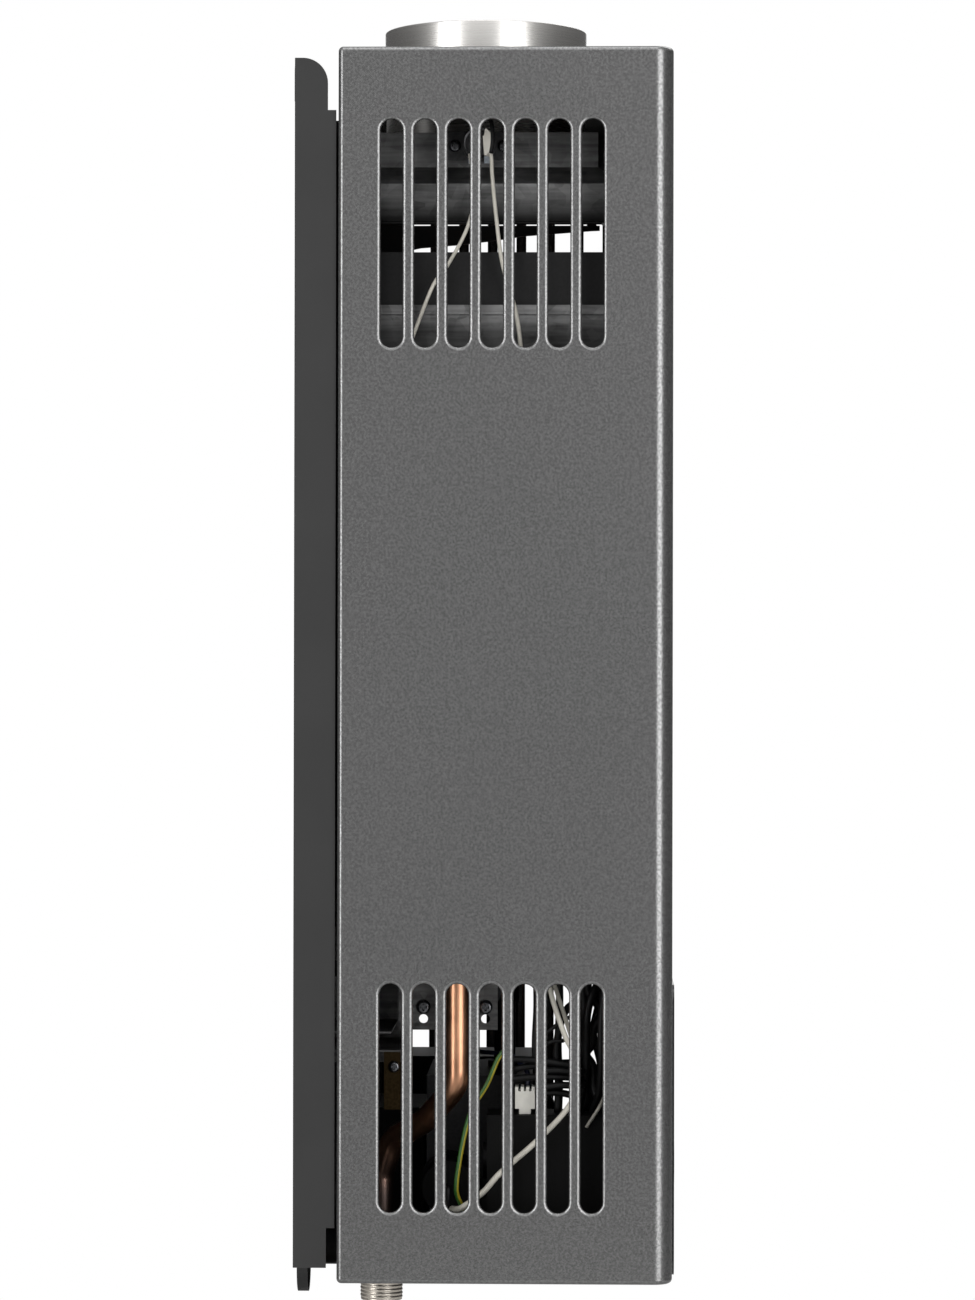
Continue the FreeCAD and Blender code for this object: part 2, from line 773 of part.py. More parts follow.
def make_flue_collar():
    """Spun collar that stands on the hood's roof: a flange, a neck and a plain wall for the pipe."""
    body = new_body("flue_collar")
    profile = new_sketch(body, "XZ_Plane", "-collar_back")
    foot = "(cover_height - hood_drop)"
    top = "(cover_height + collar_above)"
    neck = "collar_radius - collar_neck"
    step = "cover_height + collar_neck"
    polygon(profile, [
        (neck + " - collar_wall", foot),
        ("collar_radius + collar_rim", foot),
        ("collar_radius + collar_rim", foot + " + collar_wall"),
        (neck, foot + " + collar_wall"),
        (neck, step),
        ("collar_radius", step + " + collar_neck"),
        ("collar_radius", top + " - collar_chamfer"),
        ("collar_radius - collar_chamfer", top),
        ("collar_radius - collar_wall", top),
        ("collar_radius - collar_wall", step + " + collar_wall"),
        (neck + " - collar_wall", step + " + collar_wall - collar_neck"),
    ])
    revolve(body, profile)


def make_exhaust_hood():
    """Draught hood: skirt, slope and upper box, with the relief opening in its right side."""
    body = new_body("exhaust_hood")
    top = "(cover_height - hood_drop)"
    slope_top = top + " - hood_upper_height"
    slope_foot = slope_top + " - hood_slope_height"
    foot = slope_foot + " - hood_skirt_height"
    levels = [(foot, 0), (slope_foot, 0), (slope_top, 1), (top, 1)]
    for wall, kind in (("0", "AdditiveLoft"), ("hood_wall", "SubtractiveLoft")):
        sections = []
        for place, (level, narrow) in enumerate(levels):
            shift = "0"
            if wall != "0" and place in (0, 3):
                shift = "-1" if place == 0 else "-hood_wall"
            sketch = new_sketch(body, "XY_Plane", level + " + (" + shift + ")")
            half = ("hood_upper_half" if narrow else "hood_skirt_half") + " - " + wall
            inset = "hood_inset" if narrow else "0"
            front = "hood_front + %s + %s" % (inset, wall)
            rear = "hood_rear - %s/2 - %s" % (inset, wall)
            rectangle(sketch, "-(%s)" % half, half, front, rear)
            sections.append(sketch)
        loft = body.newObject("PartDesign::" + kind, "hood_loft")
        loft.Profile = sections[0]
        loft.Sections = sections[1:]
        loft.Ruled = True
    hole = new_sketch(body, "XY_Plane", top)
    circle(hole, "0", "collar_back", "collar_radius - collar_neck - collar_wall")
    pocket(body, hole, "hood_wall*3")
    relief = new_sketch(body, "YZ_Plane", "hood_upper_half + hood_wall")
    rectangle(relief, "hood_front + relief_inset", "hood_rear - relief_inset - strap_width",
              foot + " - 1", slope_top)
    pocket(body, relief, "hood_slope_width*2", reverse=True)


def make_hood_baffle():
    """Upright deflector with an arched lower edge, hung from the hood's roof by two tabs."""
    body = new_body("hood_baffle")
    roof = "(cover_height - hood_drop - hood_wall)"
    foot = "(cover_height - hood_drop - hood_upper_height - hood_slope_height - hood_skirt_height)"
    level = foot + " + baffle_rise"
    arch = [(0, 10.6), (0.04, 10.4), (0.19, 9.1), (0.34, 7.8), (0.49, 5.2), (0.65, 3.1), (0.81, 1.6),
            (0.94, -1.5), (1, -2.6)]
    across = "baffle_front + %s*(baffle_rear - baffle_front)"
    lower = [(across % share, "%s + %s" % (foot, rise)) for share, rise in arch]
    rear_tab = "baffle_rear - baffle_tab"
    front_tab = "baffle_front + baffle_tab"
    near = "hood_front + hood_inset + hood_wall"
    plate = new_sketch(body, "YZ_Plane", "-hood_wall/2")
    polygon(plate, lower + [
        ("baffle_rear", roof),
        (rear_tab, roof),
        (rear_tab, level),
        (near + " + baffle_tab", level),
        (near + " + baffle_tab", roof),
        (near, roof),
        (near, level),
        ("baffle_front", level),
    ])
    pad(body, plate, "hood_wall")
    lip = new_sketch(body, "YZ_Plane", "-baffle_lip")
    raised = [(b, u + " + baffle_lip") for b, u in reversed(lower)]
    polygon(lip, lower + raised)
    pad(body, lip, "baffle_lip*2")


def make_hood_straps():
    """Four straps from the exchanger's sides up to the hood's skirt."""
    foot = "cover_height - exchanger_drop - exchanger_height + 8"
    top = "cover_height - hood_drop - hood_upper_height - hood_slope_height - 4"
    solids = []
    for side in (-1, 1):
        for b in ("exchanger_front", "exchanger_rear - strap_width"):
            low = "exchanger_half" if side > 0 else "-exchanger_half - hood_wall"
            high = "exchanger_half + hood_wall" if side > 0 else "-exchanger_half"
            upright_part = box((low, high), (b, b + " + strap_width"), (foot, top))
            near = "hood_skirt_half" if side > 0 else "-exchanger_half - hood_wall"
            far = "exchanger_half + hood_wall" if side > 0 else "-hood_skirt_half"
            bridge = box((near, far), (b, b + " + strap_width"), (top + " - hood_wall", top))
            solids.append(fused([upright_part, bridge]))
    keep(group(solids), "hood_straps")


def make_exchanger():
    """Finned copper exchanger: black outer jacket, fins, and one serpentine tube."""
    low = "(cover_height - exchanger_drop - exchanger_height)"
    high = "(cover_height - exchanger_drop)"
    jacket = new_body("exchanger_jacket")
    shape = new_sketch(jacket, "XY_Plane", low)
    half = "exchanger_half"
    rectangle(shape, "-" + half, half, "exchanger_front", "exchanger_rear")
    inner = "exchanger_half - exchanger_wall"
    rectangle(shape, "-(%s)" % inner, inner, "exchanger_front + exchanger_wall",
              "exchanger_rear - exchanger_wall")
    pad(jacket, shape, "exchanger_height")
    rim = new_sketch(jacket, "XY_Plane", low)
    wide = "exchanger_half + exchanger_flange"
    rectangle(rim, "-(%s)" % wide, wide, "exchanger_front - exchanger_flange",
              "exchanger_rear + exchanger_flange")
    inside = "core_half + 1"
    rectangle(rim, "-(%s)" % inside, inside, "exchanger_front + 14", "exchanger_rear - 8")
    middle = "(exchanger_front + exchanger_rear)/2"
    for side, b in (("-", "+ 2*tube_pitch"), ("", "- 2*tube_pitch")):
        circle(rim, side + "hot_pipe_offset", middle + b, "tube_radius + 1")
    pad(jacket, rim, "exchanger_wall", reverse=True)
    fins = new_body("exchanger_fins")
    plate = new_sketch(fins, "YZ_Plane", "-(fin_count - 1)*fin_pitch/2")
    rectangle(plate, "exchanger_front + 9", "exchanger_rear - 9", low + " + 1", high + " - 1")
    first = pad(fins, plate, "fin_wall")
    row(fins, first, "X_Axis", "fin_count", "fin_pitch")
    level = low + " + exchanger_height/2"
    middle = "(exchanger_front + exchanger_rear)/2"
    turn = number("tube_pitch/2")
    points = [spot("core_half + 20", middle + " - 2*tube_pitch", level)]
    for index in range(5):
        side = -1 if index % 2 == 0 else 1
        b = "%s + %d*tube_pitch" % (middle, index - 2)
        if index < 4:
            x = "%d*(core_half + tube_pitch/2)" % side
            points.append(spot(x, b, level))
            points.append(spot(x, "%s + tube_pitch" % b, level))
    points.append(spot("-hot_pipe_offset", middle + " + 2*tube_pitch", level))
    points.append(spot("-hot_pipe_offset", middle + " + 2*tube_pitch", low + " - 14"))
    points[0] = spot("hot_pipe_offset", middle + " - 2*tube_pitch", level)
    points.insert(0, spot("hot_pipe_offset", middle + " - 2*tube_pitch", low + " - 14"))
    shaped("exchanger_tube", [swept(points, number("tube_radius"), turn)])


def make_chamber():
    """Combustion chamber: an open sheet box between burner and exchanger."""
    body = new_body("combustion_chamber")
    top = "(cover_height - exchanger_drop - exchanger_height - exchanger_wall)"
    outline = new_sketch(body, "XY_Plane", "chamber_foot")
    half = "chamber_half"
    rectangle(outline, "-" + half, half, "chamber_front", "chamber_rear")
    inner = "chamber_half - chamber_wall"
    rectangle(outline, "-(%s)" % inner, inner, "chamber_front + chamber_wall",
              "chamber_rear - chamber_wall")
    pad(body, outline, "%s - chamber_foot" % top)
    flange = new_sketch(body, "XY_Plane", top)
    wide = "exchanger_half + exchanger_flange"
    rectangle(flange, "-(%s)" % wide, wide, "exchanger_front - exchanger_flange",
              "exchanger_rear + exchanger_flange")
    rectangle(flange, "-(%s)" % inner, inner, "chamber_front + chamber_wall",
              "chamber_rear - chamber_wall")
    pad(body, flange, "chamber_wall", reverse=True)
    for side in ("-1", "1"):
        edge = new_sketch(body, "YZ_Plane", "%s*(%s)" % (side, wide))
        rectangle(edge, "exchanger_front - exchanger_flange", "exchanger_rear + exchanger_flange",
                  top + " - 1.7", top + " + 2.7")
        pad(body, edge, "chamber_wall", reverse=side == "-1")
    pipe_holes = new_sketch(body, "XY_Plane", top)
    middle = "(exchanger_front + exchanger_rear)/2"
    for side, b in (("-", "+ 2*tube_pitch"), ("", "- 2*tube_pitch")):
        circle(pipe_holes, side + "hot_pipe_offset", middle + b, "tube_radius + 1")
    pocket(body, pipe_holes, "chamber_wall*3")
    shields = new_body("chamber_shields")
    for side in ("-1", "1"):
        face = new_sketch(shields, "YZ_Plane", "%s*(exchanger_half + 2)" % side)
        rectangle(face, "exchanger_front", "exchanger_rear - 4", top + " - 118", top + " - chamber_wall")
        pad(shields, face, "chamber_wall", reverse=side == "1")


def make_burner():
    """Burner frame with its row of upright bars."""
    frame = new_body("burner_frame")
    outline = new_sketch(frame, "XY_Plane", "burner_foot")
    half = "chamber_half"
    rectangle(outline, "-" + half, half, "chamber_front", "chamber_rear")
    inner = "chamber_half - bracket_wall"
    rectangle(outline, "-(%s)" % inner, inner, "chamber_front + bracket_wall",
              "chamber_rear - bracket_wall")
    pad(frame, outline, "chamber_foot - burner_foot")
    rails = new_sketch(frame, "XY_Plane", "bar_rise")
    for b in ("chamber_front + bracket_wall", "chamber_rear - bracket_wall - 8"):
        rectangle(rails, "-(%s)" % inner, inner, b, b + " + 8")
    pad(frame, rails, "bracket_wall", reverse=True)
    ports = new_sketch(frame, "XZ_Plane", "-chamber_front")
    for x in ("-electrode_offset", "electrode_offset"):
        circle(ports, x, ELECTRODE_U, "electrode_radius + running_fit")
    pocket(frame, ports, "bracket_wall*2")
    bars = new_body("burner_bars")
    section = new_sketch(bars, "XZ_Plane", "-(chamber_front + chamber_rear + bar_length)/2")
    left = "(-(bar_count - 1)*bar_pitch/2)"
    low = "bar_rise"
    high = "(bar_rise + bar_height)"
    polygon(section, [
        (left + " - bar_head/2", low),
        (left + " + bar_head/2", low),
        (left + " + bar_head/2", low + " + 9"),
        (left + " + bar_neck/2", low + " + 13"),
        (left + " + bar_neck/2", high + " - 16"),
        (left + " + bar_head/2", high + " - 10"),
        (left + " + bar_head/2", high + " - 2"),
        (left + " + bar_head/3", high),
        (left + " - bar_head/3", high),
        (left + " - bar_head/2", high + " - 2"),
        (left + " - bar_head/2", high + " - 10"),
        (left + " - bar_neck/2", high + " - 16"),
        (left + " - bar_neck/2", low + " + 13"),
        (left + " - bar_head/2", low + " + 9"),
    ])
    first = pad(bars, section, "bar_length")
    row(bars, first, "X_Axis", "bar_count", "bar_pitch")


def make_brackets():
    """Side brackets that carry the burner, the shelves between them and the tab with its screw."""
    panel = "rear_space + cover_depth - standoff - plate_wall"
    solids = []
    screws = []
    for side in (-1, 1):
        low = "chamber_half" if side > 0 else "-chamber_half - bracket_wall"
        high = "chamber_half + bracket_wall" if side > 0 else "-chamber_half"
        spread = ("bracket_foot", "bracket_foot + 50")
        arm = box((low, high), ("bracket_front", panel), spread)
        foot_x = (low, low + " + 16") if side > 0 else (high + " - 16", high)
        foot = box(foot_x, (panel + " - bracket_wall", panel), spread)
        corner = box((low + " - 20", high + " + 20"), ("bracket_cut", panel + " + 1"),
                     ("bracket_foot - 1", "burner_foot"))
        holes = [rod("x", 2.2, "10", low + " - 4", "bracket_front + %s" % b, "bracket_foot + 5.4")
                 for b in (5.9, 36.3)]
        solids.append(minus(fused([arm, foot]), holes + [corner]))
        face = high if side > 0 else low
        axis = "-x" if side > 0 else "x"
        for b in ("bracket_front + 5.9", "bracket_front + 36.3"):
            screws.append(screw(axis, face, b, "bracket_foot + 11.2", length=3.0))
    keep(group(solids), "burner_brackets")
    right = "-chamber_half/2"
    left = "-chamber_half - 13"
    web = box((right + " - bracket_wall", right), ("bracket_cut", panel),
              ("shelf_rise - 12", "burner_foot - 12"))
    foot = box((right, right + " + 16"), (panel + " - bracket_wall", panel),
               ("shelf_rise - 12", "burner_foot - 12"))
    shelves = []
    for index in (0, 1):
        level = "shelf_rise + %d*shelf_pitch" % index
        shelves.append(box((left, right), ("bracket_cut - %d" % (2 - 5 * index), panel + " - rib_height"),
                           (level + " - 0.4", level + " + 0.4")))
    keep(fused([web, foot] + shelves), "rear_bracket")
    tab = box((left + " + 0.5", left + " + 1.5"), ("bracket_cut - 1.5", "bracket_cut + 6.5"),
              ("shelf_rise - 28.5", "shelf_rise - 0.4"))
    keep(tab, "brass_tab")
    screws.append(screw("x", left + " + 0.5", "bracket_cut + 1.5", "shelf_rise - 7.6", head=2.8,
                        length=4.0))
    inner_screws.extend(screws)


def make_gas_path():
    """Manifold with its nozzles, the riser, the gas valve and its solenoid."""
    half = "(chamber_half - 0.2)"
    pipe = rod("x", "manifold_radius", "2*" + half, "-" + half, "valve_back", "manifold_rise")
    seat = rod("z", "riser_radius + 2", "manifold_radius", "-riser_offset", "riser_back",
               "manifold_rise - manifold_radius - 1")
    keep(fused([pipe, seat]), "gas_manifold")
    left = "-(bar_count - 1)*bar_pitch/2"
    nozzles = []
    for index in range(int(number("bar_count"))):
        x = "%s + %d*bar_pitch" % (left, index)
        foot = "manifold_rise + manifold_radius - 0.4"
        hexed = hexagon("z", "nozzle_radius", "5", x, "valve_back", foot)
        tip = rod("z", "nozzle_radius*0.6", "9", x, "valve_back", foot)
        nozzles.append(fused([hexed, tip]))
    keep(group(nozzles), "gas_nozzles")
    riser_foot = "valve_rise + gas_block_top"
    riser_top = "manifold_rise - manifold_radius - 1"
    stem = rod("z", "riser_radius", "%s - (%s)" % (riser_top, riser_foot), "-riser_offset",
               "riser_back", riser_foot)
    lower_flange = rod("z", "riser_radius + 3", "3", "-riser_offset", "riser_back", riser_foot)
    keep(fused([stem, lower_flange]), "gas_riser")
    length = "gas_valve_left + gas_valve_right"
    barrel = rod("x", "gas_valve_radius", length, "-gas_valve_left", "valve_back", "valve_rise")
    base = box(("-gas_valve_left + 8", "gas_valve_right - 8"),
               ("valve_back - 14", "valve_back + 14"),
               ("valve_rise - gas_valve_radius - 5", "valve_rise"))
    bosses = []
    bores = []
    front = "valve_back - gas_valve_radius - 8"
    for x in ("-knob_spacing", "0"):
        bosses.append(rod("y", "11", "28", x, front, "valve_rise"))
        bores.append(rod("y", "spindle_radius + running_fit", "30", x, front + " - 1", "valve_rise"))
    block = box(("-gas_valve_left", "-gas_offset"), (front + " + 2", "valve_back + 28"),
                ("valve_rise - gas_block_drop", riser_foot))
    inlet = rod("y", "13", "gas_valve_radius + 8", "gas_offset", "valve_back", "valve_rise")
    rod_bore = rod("x", "rod_radius + running_fit", "20", "gas_valve_right - 9 - rod_travel",
                   "valve_back", "valve_rise")
    keep(minus(fused([barrel, base, block, inlet] + bosses), bores + [rod_bore]), "gas_valve")
    back = "valve_back + 16"
    level = "valve_rise - 10"
    can = rod("-x", "solenoid_radius", "solenoid_length", "-gas_valve_left", back, level)
    collar = rod("-x", "solenoid_radius + 2", "4", "-gas_valve_left", back, level)
    keep(fused([can, collar]), "solenoid_valve")


def make_water_valve():
    """Water valve: diaphragm chamber in two halves, spindle boss, outlet and drain plug."""
    left = "diaphragm_left"
    cap = rod("x", "diaphragm_radius", "4", left + " + water_cover_length - 4", "valve_back",
              "valve_rise")
    dome = rod("x", "diaphragm_radius - 8", "water_cover_length", left, "valve_back", "valve_rise")
    bore = rod("x", "rod_radius + running_fit", "40", left + " - 1", "valve_back", "valve_rise")
    keep(minus(fused([cap, dome]), [bore]), "water_valve_cover")
    start = "(diaphragm_left + water_cover_length)"
    sheet_disc = rod("x", "diaphragm_radius", "diaphragm_wall", start, "valve_back", "valve_rise")
    keep(sheet_disc, "diaphragm")
    flange_start = "(%s + diaphragm_wall)" % start
    flange = rod("x", "diaphragm_radius", "5", flange_start, "valve_back", "valve_rise")
    bowl = rod("x", "diaphragm_radius - 8", "water_flange_length", flange_start, "valve_back",
               "valve_rise")
    block_x = (flange_start, "%s + water_block_width" % flange_start)
    block = box(block_x, ("water_block_front", "water_block_rear"),
                ("valve_rise - water_block_drop", "valve_rise + water_block_top"))
    boss = rod("y", "11", "20", "knob_spacing", "water_block_front - 3", "valve_rise")
    spindle_bore = rod("y", "spindle_radius + running_fit", "30", "knob_spacing",
                       "water_block_front - 4", "valve_rise")
    outlet = rod("z", "9", "water_block_top + 4", "knob_spacing", "outlet_back", "valve_rise")
    drain = rod("-z", "9", "water_block_drop + 4", "knob_spacing - 6", "valve_back", "valve_rise")
    whole = fused([flange, bowl, block, boss, outlet, drain])
    keep(minus(whole, [spindle_bore]), "water_valve_body")
    stem_top = "valve_rise - water_block_drop - 4"
    plug_stem = rod("-z", "7.5", stem_top + " + 4", "knob_spacing - 6", "valve_back", stem_top)
    cap_disc = rod("-z", "9.5", "9", "knob_spacing - 6", "valve_back", "-1")
    bar = box(("knob_spacing - 15", "knob_spacing + 3"), ("valve_back - 1.5", "valve_back + 1.5"),
              ("-16", "-10"))
    keep(fused([plug_stem, cap_disc, bar]), "drain_plug")
    screws = []
    for index in range(6):
        angle = math.radians(30 + 60 * index)
        b = "valve_back + %.4f*(diaphragm_radius - 4)" % math.cos(angle)
        u = "valve_rise + %.4f*(diaphragm_radius - 4)" % math.sin(angle)
        screws.append(screw("x", start + " - 4", b, u, head=3.0, length=4.0))
    inner_screws.extend(screws)


def make_switch():
    """Push rod between the valves, and the micro-switch with its lever and bracket."""
    right = "(diaphragm_left + water_cover_length - 0.2)"
    left = "(gas_valve_right - 8)"
    bar = rod("x", "rod_radius", "%s - %s" % (right, left), left, "valve_back", "valve_rise")
    collar = rod("x", "rod_collar_radius", "2", "gas_valve_right + 15", "valve_back", "valve_rise")
    keep(fused([bar, collar]), "push_rod")
    pivot_u = "(valve_rise + 18)"
    pivot_x = "(gas_valve_right + 13.5)"
    arm = box((pivot_x, pivot_x + " + 1.2"), ("valve_back - 3", "valve_back + 3"),
              ("valve_rise + rod_radius + 0.8", pivot_u))
    foot = box((pivot_x + " - 9", pivot_x + " + 1.2"), ("valve_back - 3", "valve_back + 3"),
               (pivot_u, pivot_u + " + 1"))
    eye = rod("y", "2", "6", pivot_x, "valve_back - 3", pivot_u)
    pin = rod("y", "1", "12", pivot_x, "valve_back - 6", pivot_u)
    keep(fused([arm, foot, eye, pin]), "switch_lever")
    ear_low = "valve_back - 5.6"
    ears = []
    for b in ("valve_back - 5.6", "valve_back + 4.4"):
        ears.append(box((pivot_x + " - 3", pivot_x + " + 3"), (b, b + " + 1.2"),
                        (pivot_u + " - 3", pivot_u + " + 18")))
    roof = box((pivot_x + " - 20", pivot_x + " + 3"), (ear_low, "valve_back + 5.6"),
               (pivot_u + " + 16.8", pivot_u + " + 18"))
    post = box(("gas_valve_right - 18", "gas_valve_right - 16"), ("valve_back - 5", "valve_back + 5"),
               ("valve_rise + gas_valve_radius", pivot_u + " + 18"))
    ledge = box(("gas_valve_right - 18", pivot_x + " - 19"), ("valve_back - 5", "valve_back + 5"),
                (pivot_u + " + 16.8", pivot_u + " + 18"))
    pin_bore = rod("y", "1 + running_fit", "20", pivot_x, "valve_back - 10", pivot_u)
    keep(minus(fused(ears + [roof, post, ledge]), [pin_bore]), "switch_bracket")
    case = box((pivot_x + " - 19", pivot_x + " - 1"), ("valve_back - 3", "valve_back + 3"),
               (pivot_u + " + 6.8", pivot_u + " + 16.8"))
    button = box((pivot_x + " - 8", pivot_x + " - 5"), ("valve_back - 1.5", "valve_back + 1.5"),
                 (pivot_u + " + 4.2", pivot_u + " + 6.8"))
    keep(fused([case, button]), "microswitch")


def knob_body(label, x):
    """A fluted control knob with a pointer groove and a blind bore for its spindle."""
    body = document.addObject("PartDesign::Body", label)
    bind(body, Placement__Base__x=x)
    bind(body, Placement__Base__y=FRONT + " - fascia_wall - knob_proud")
    bind(body, Placement__Base__z=BASE + " + valve_rise")
    keep(body, label)
    profile = new_sketch(body, "XY_Plane")
    polygon(profile, [
        ("0", "0.8"),
        ("knob_radius - 5", "0.8"),
        ("knob_radius - 3.6", "0"),
        ("knob_radius - 2.2", "0"),
        ("knob_radius - 1", "1.2"),
        ("knob_radius", "knob_length"),
        ("0", "knob_length"),
    ])
    revolve(body, profile)
    flute = new_sketch(body, "XZ_Plane", "-knob_length")
    circle(flute, "knob_radius + 0.6", "0", "1.8")
    cut = pocket(body, flute, "knob_length - 3.5", reverse=True)
    ring_of(body, cut, "Y_Axis", "flute_count")
    bore = new_sketch(body, "XZ_Plane", "-knob_length")
    circle(bore, "0", "0", "spindle_radius + running_fit")
    pocket(body, bore, "knob_length - 4", reverse=True)
    mark = new_sketch(body, "XZ_Plane", "0")
    rectangle(mark, "-0.8", "0.8", "knob_radius - 11", "knob_radius - 4")
    pocket(body, mark, "1.4")
    return body


def make_knobs():
    """Three knobs and the spindles that carry them into the valves."""
    front = "4 - fascia_wall - knob_proud"
    depths = {"season": "-knob_spacing", "gas": "0", "water": "knob_spacing"}
    for name, x in depths.items():
        knob_body(name + "_knob", x)
        spindle = rod("y", "spindle_radius", "valve_back - 12 - (%s)" % front, x, front, "valve_rise")
        keep(spindle, name + "_spindle")


def make_control_panel():
    """Moulded front panel with three deep dishes for the knobs and the display's window."""
    body = new_body("control_panel")
    face = new_sketch(body, "XZ_Plane", "fascia_wall")
    round_rectangle(face, "-fascia_half", "fascia_half", "fascia_foot", "fascia_top",
                    "fascia_corner", "fascia_corner")
    pad(body, face, "fascia_wall", reverse=True)
    cups = new_sketch(body, "XZ_Plane", "0")
    for place in ("-knob_spacing", "0", "knob_spacing"):
        circle(cups, place, "valve_rise", "dish_radius + dish_wall")
    pad(body, cups, "dish_depth - fascia_wall + dish_wall", reverse=True)
    hollow = new_sketch(body, "XZ_Plane", "fascia_wall")
    for place in ("-knob_spacing", "0", "knob_spacing"):
        circle(hollow, place, "valve_rise", "dish_radius")
    pocket(body, hollow, "dish_depth")
    holes = new_sketch(body, "XZ_Plane", "fascia_wall")
    for place in ("-knob_spacing", "0", "knob_spacing"):
        circle(holes, place, "valve_rise", "spindle_radius + 1")
    pocket(body, holes, "dish_depth + dish_wall*2")
    window = new_sketch(body, "XZ_Plane", "fascia_wall")
    rectangle(window, "-window_half", "window_half", "window_rise", "window_rise + window_height")
    pocket(body, window, "fascia_wall*2")
    rim = "window_half - 2"
    glass = new_body("display_window")
    pane = new_sketch(glass, "XZ_Plane", "fascia_wall")
    gap = "0.1"
    rectangle(pane, "-window_half + " + gap, "window_half - " + gap, "window_rise + " + gap,
              "window_rise + window_height - " + gap)
    pad(glass, pane, "fascia_wall + cover_wall", reverse=True)
    board = new_body("display_board")
    card = new_sketch(board, "XZ_Plane", "-cover_wall - 8")
    rectangle(card, "-%s - 6" % "window_half", "window_half + 6", "window_rise - 4",
              "window_rise + window_height + 5")
    pad(board, card, "1.6")
    block = new_sketch(board, "XZ_Plane", "-cover_wall - 8 + 1.6")
    rectangle(block, "-(%s)" % rim, rim, "window_rise + 1", "window_rise + window_height - 1")
    pad(board, block, "6.2")


def make_connections():
    """Threaded nipples, union nuts, grommets and the bent copper pipes."""
    names = (("hot", "-water_spacing/2"), ("gas", "gas_offset"), ("cold", "water_spacing/2"))
    nipples = []
    grommets = []
    nuts = []
    for name, x in names:
        reach = "nipple_reach + nipple_top"
        threaded = rod("z", "nipple_radius", "nipple_thread", x, "nipple_back", "-nipple_reach")
        neck = rod("z", "nipple_neck", reach, x, "nipple_back", "-nipple_reach")
        bore = rod("z", "nipple_bore", "nipple_reach + 10", x, "nipple_back", "-nipple_reach - 1")
        nipples.append(minus(fused([threaded, neck]), [bore]))
        hexed = hexagon("z", "nut_radius", "nut_height", x, "nipple_back", "nipple_top - nut_height/2")
        through = rod("z", "nipple_neck", "nut_height/2 + 1", x, "nipple_back",
                      "nipple_top - nut_height/2 - 1")
        pipe = "gas_pipe_radius" if name == "gas" else "pipe_radius"
        pipe_hole = rod("z", pipe + " + 0.05", "20", x, "nipple_back", "nipple_top - 2")
        nuts.append(minus(hexed, [through, pipe_hole]))
        ring = rod("z", "nut_radius + 3", "grommet_height", x, "nipple_back",
                   "tray_rise - grommet_height/2 + tray_wall/2")
        hole = rod("z", "nipple_neck + 0.1", "grommet_height + 2", x, "nipple_back",
                   "tray_rise - grommet_height/2 - 1 + tray_wall/2")
        grommets.append(minus(ring, [hole]))
    keep(group(nipples), "threaded_nipples")
    keep(group(nuts), "union_nuts")
    keep(group(grommets), "pipe_grommets")
    low = "cover_height - exchanger_drop - exchanger_height - 14"
    middle = "(exchanger_front + exchanger_rear)/2"
    bend = 2.2 * number("pipe_radius")
    offset = "hot_pipe_offset"
    rear_b = middle + " + 2*tube_pitch"
    front_b = middle + " - 2*tube_pitch"
    hot = [
        spot("-" + offset, rear_b, low),
        spot("-" + offset, rear_b, "chamber_foot + 90"),
        spot("-" + offset, "hot_pipe_back", "chamber_foot + 40"),
        spot("-" + offset, "hot_pipe_back", "nipple_top + 73"),
        spot("-" + offset + " + 16", "hot_pipe_back + 15.6", "nipple_top + 54.3"),
        spot("-water_spacing/2 - 4", "nipple_back - 4.9", "nipple_top + 42.5"),
        spot("-water_spacing/2", "nipple_back", "nipple_top + 26"),
        spot("-water_spacing/2", "nipple_back", "nipple_top"),
    ]
    shaped("hot_water_pipe", [swept(hot, number("pipe_radius"), bend)])
    top = "valve_rise + water_block_top + 4"
    cold = [
        spot("knob_spacing", "outlet_back", top),
        spot("knob_spacing", "outlet_back", "bracket_foot - 14"),
        spot(offset, "outlet_back", "bracket_foot - 9"),
        spot(offset, "outlet_back", "chamber_foot + 60"),
        spot(offset, front_b, "chamber_foot + 110"),
        spot(offset, front_b, low),
    ]
    shaped("cold_water_pipe", [swept(cold, number("pipe_radius"), bend)])
    inlet = rod("z", "pipe_radius", "valve_rise - water_block_drop - nipple_top", "water_spacing/2",
                "nipple_back", "nipple_top")
    keep(inlet, "cold_inlet_pipe")
    gas = [
        spot("gas_offset", "valve_back + gas_valve_radius + 8", "valve_rise"),
        spot("gas_offset", "nipple_back", "valve_rise"),
        spot("gas_offset", "nipple_back", "nipple_top"),
    ]
    shaped("gas_inlet_pipe", [swept(gas, number("gas_pipe_radius"), 2 * number("gas_pipe_radius"))])


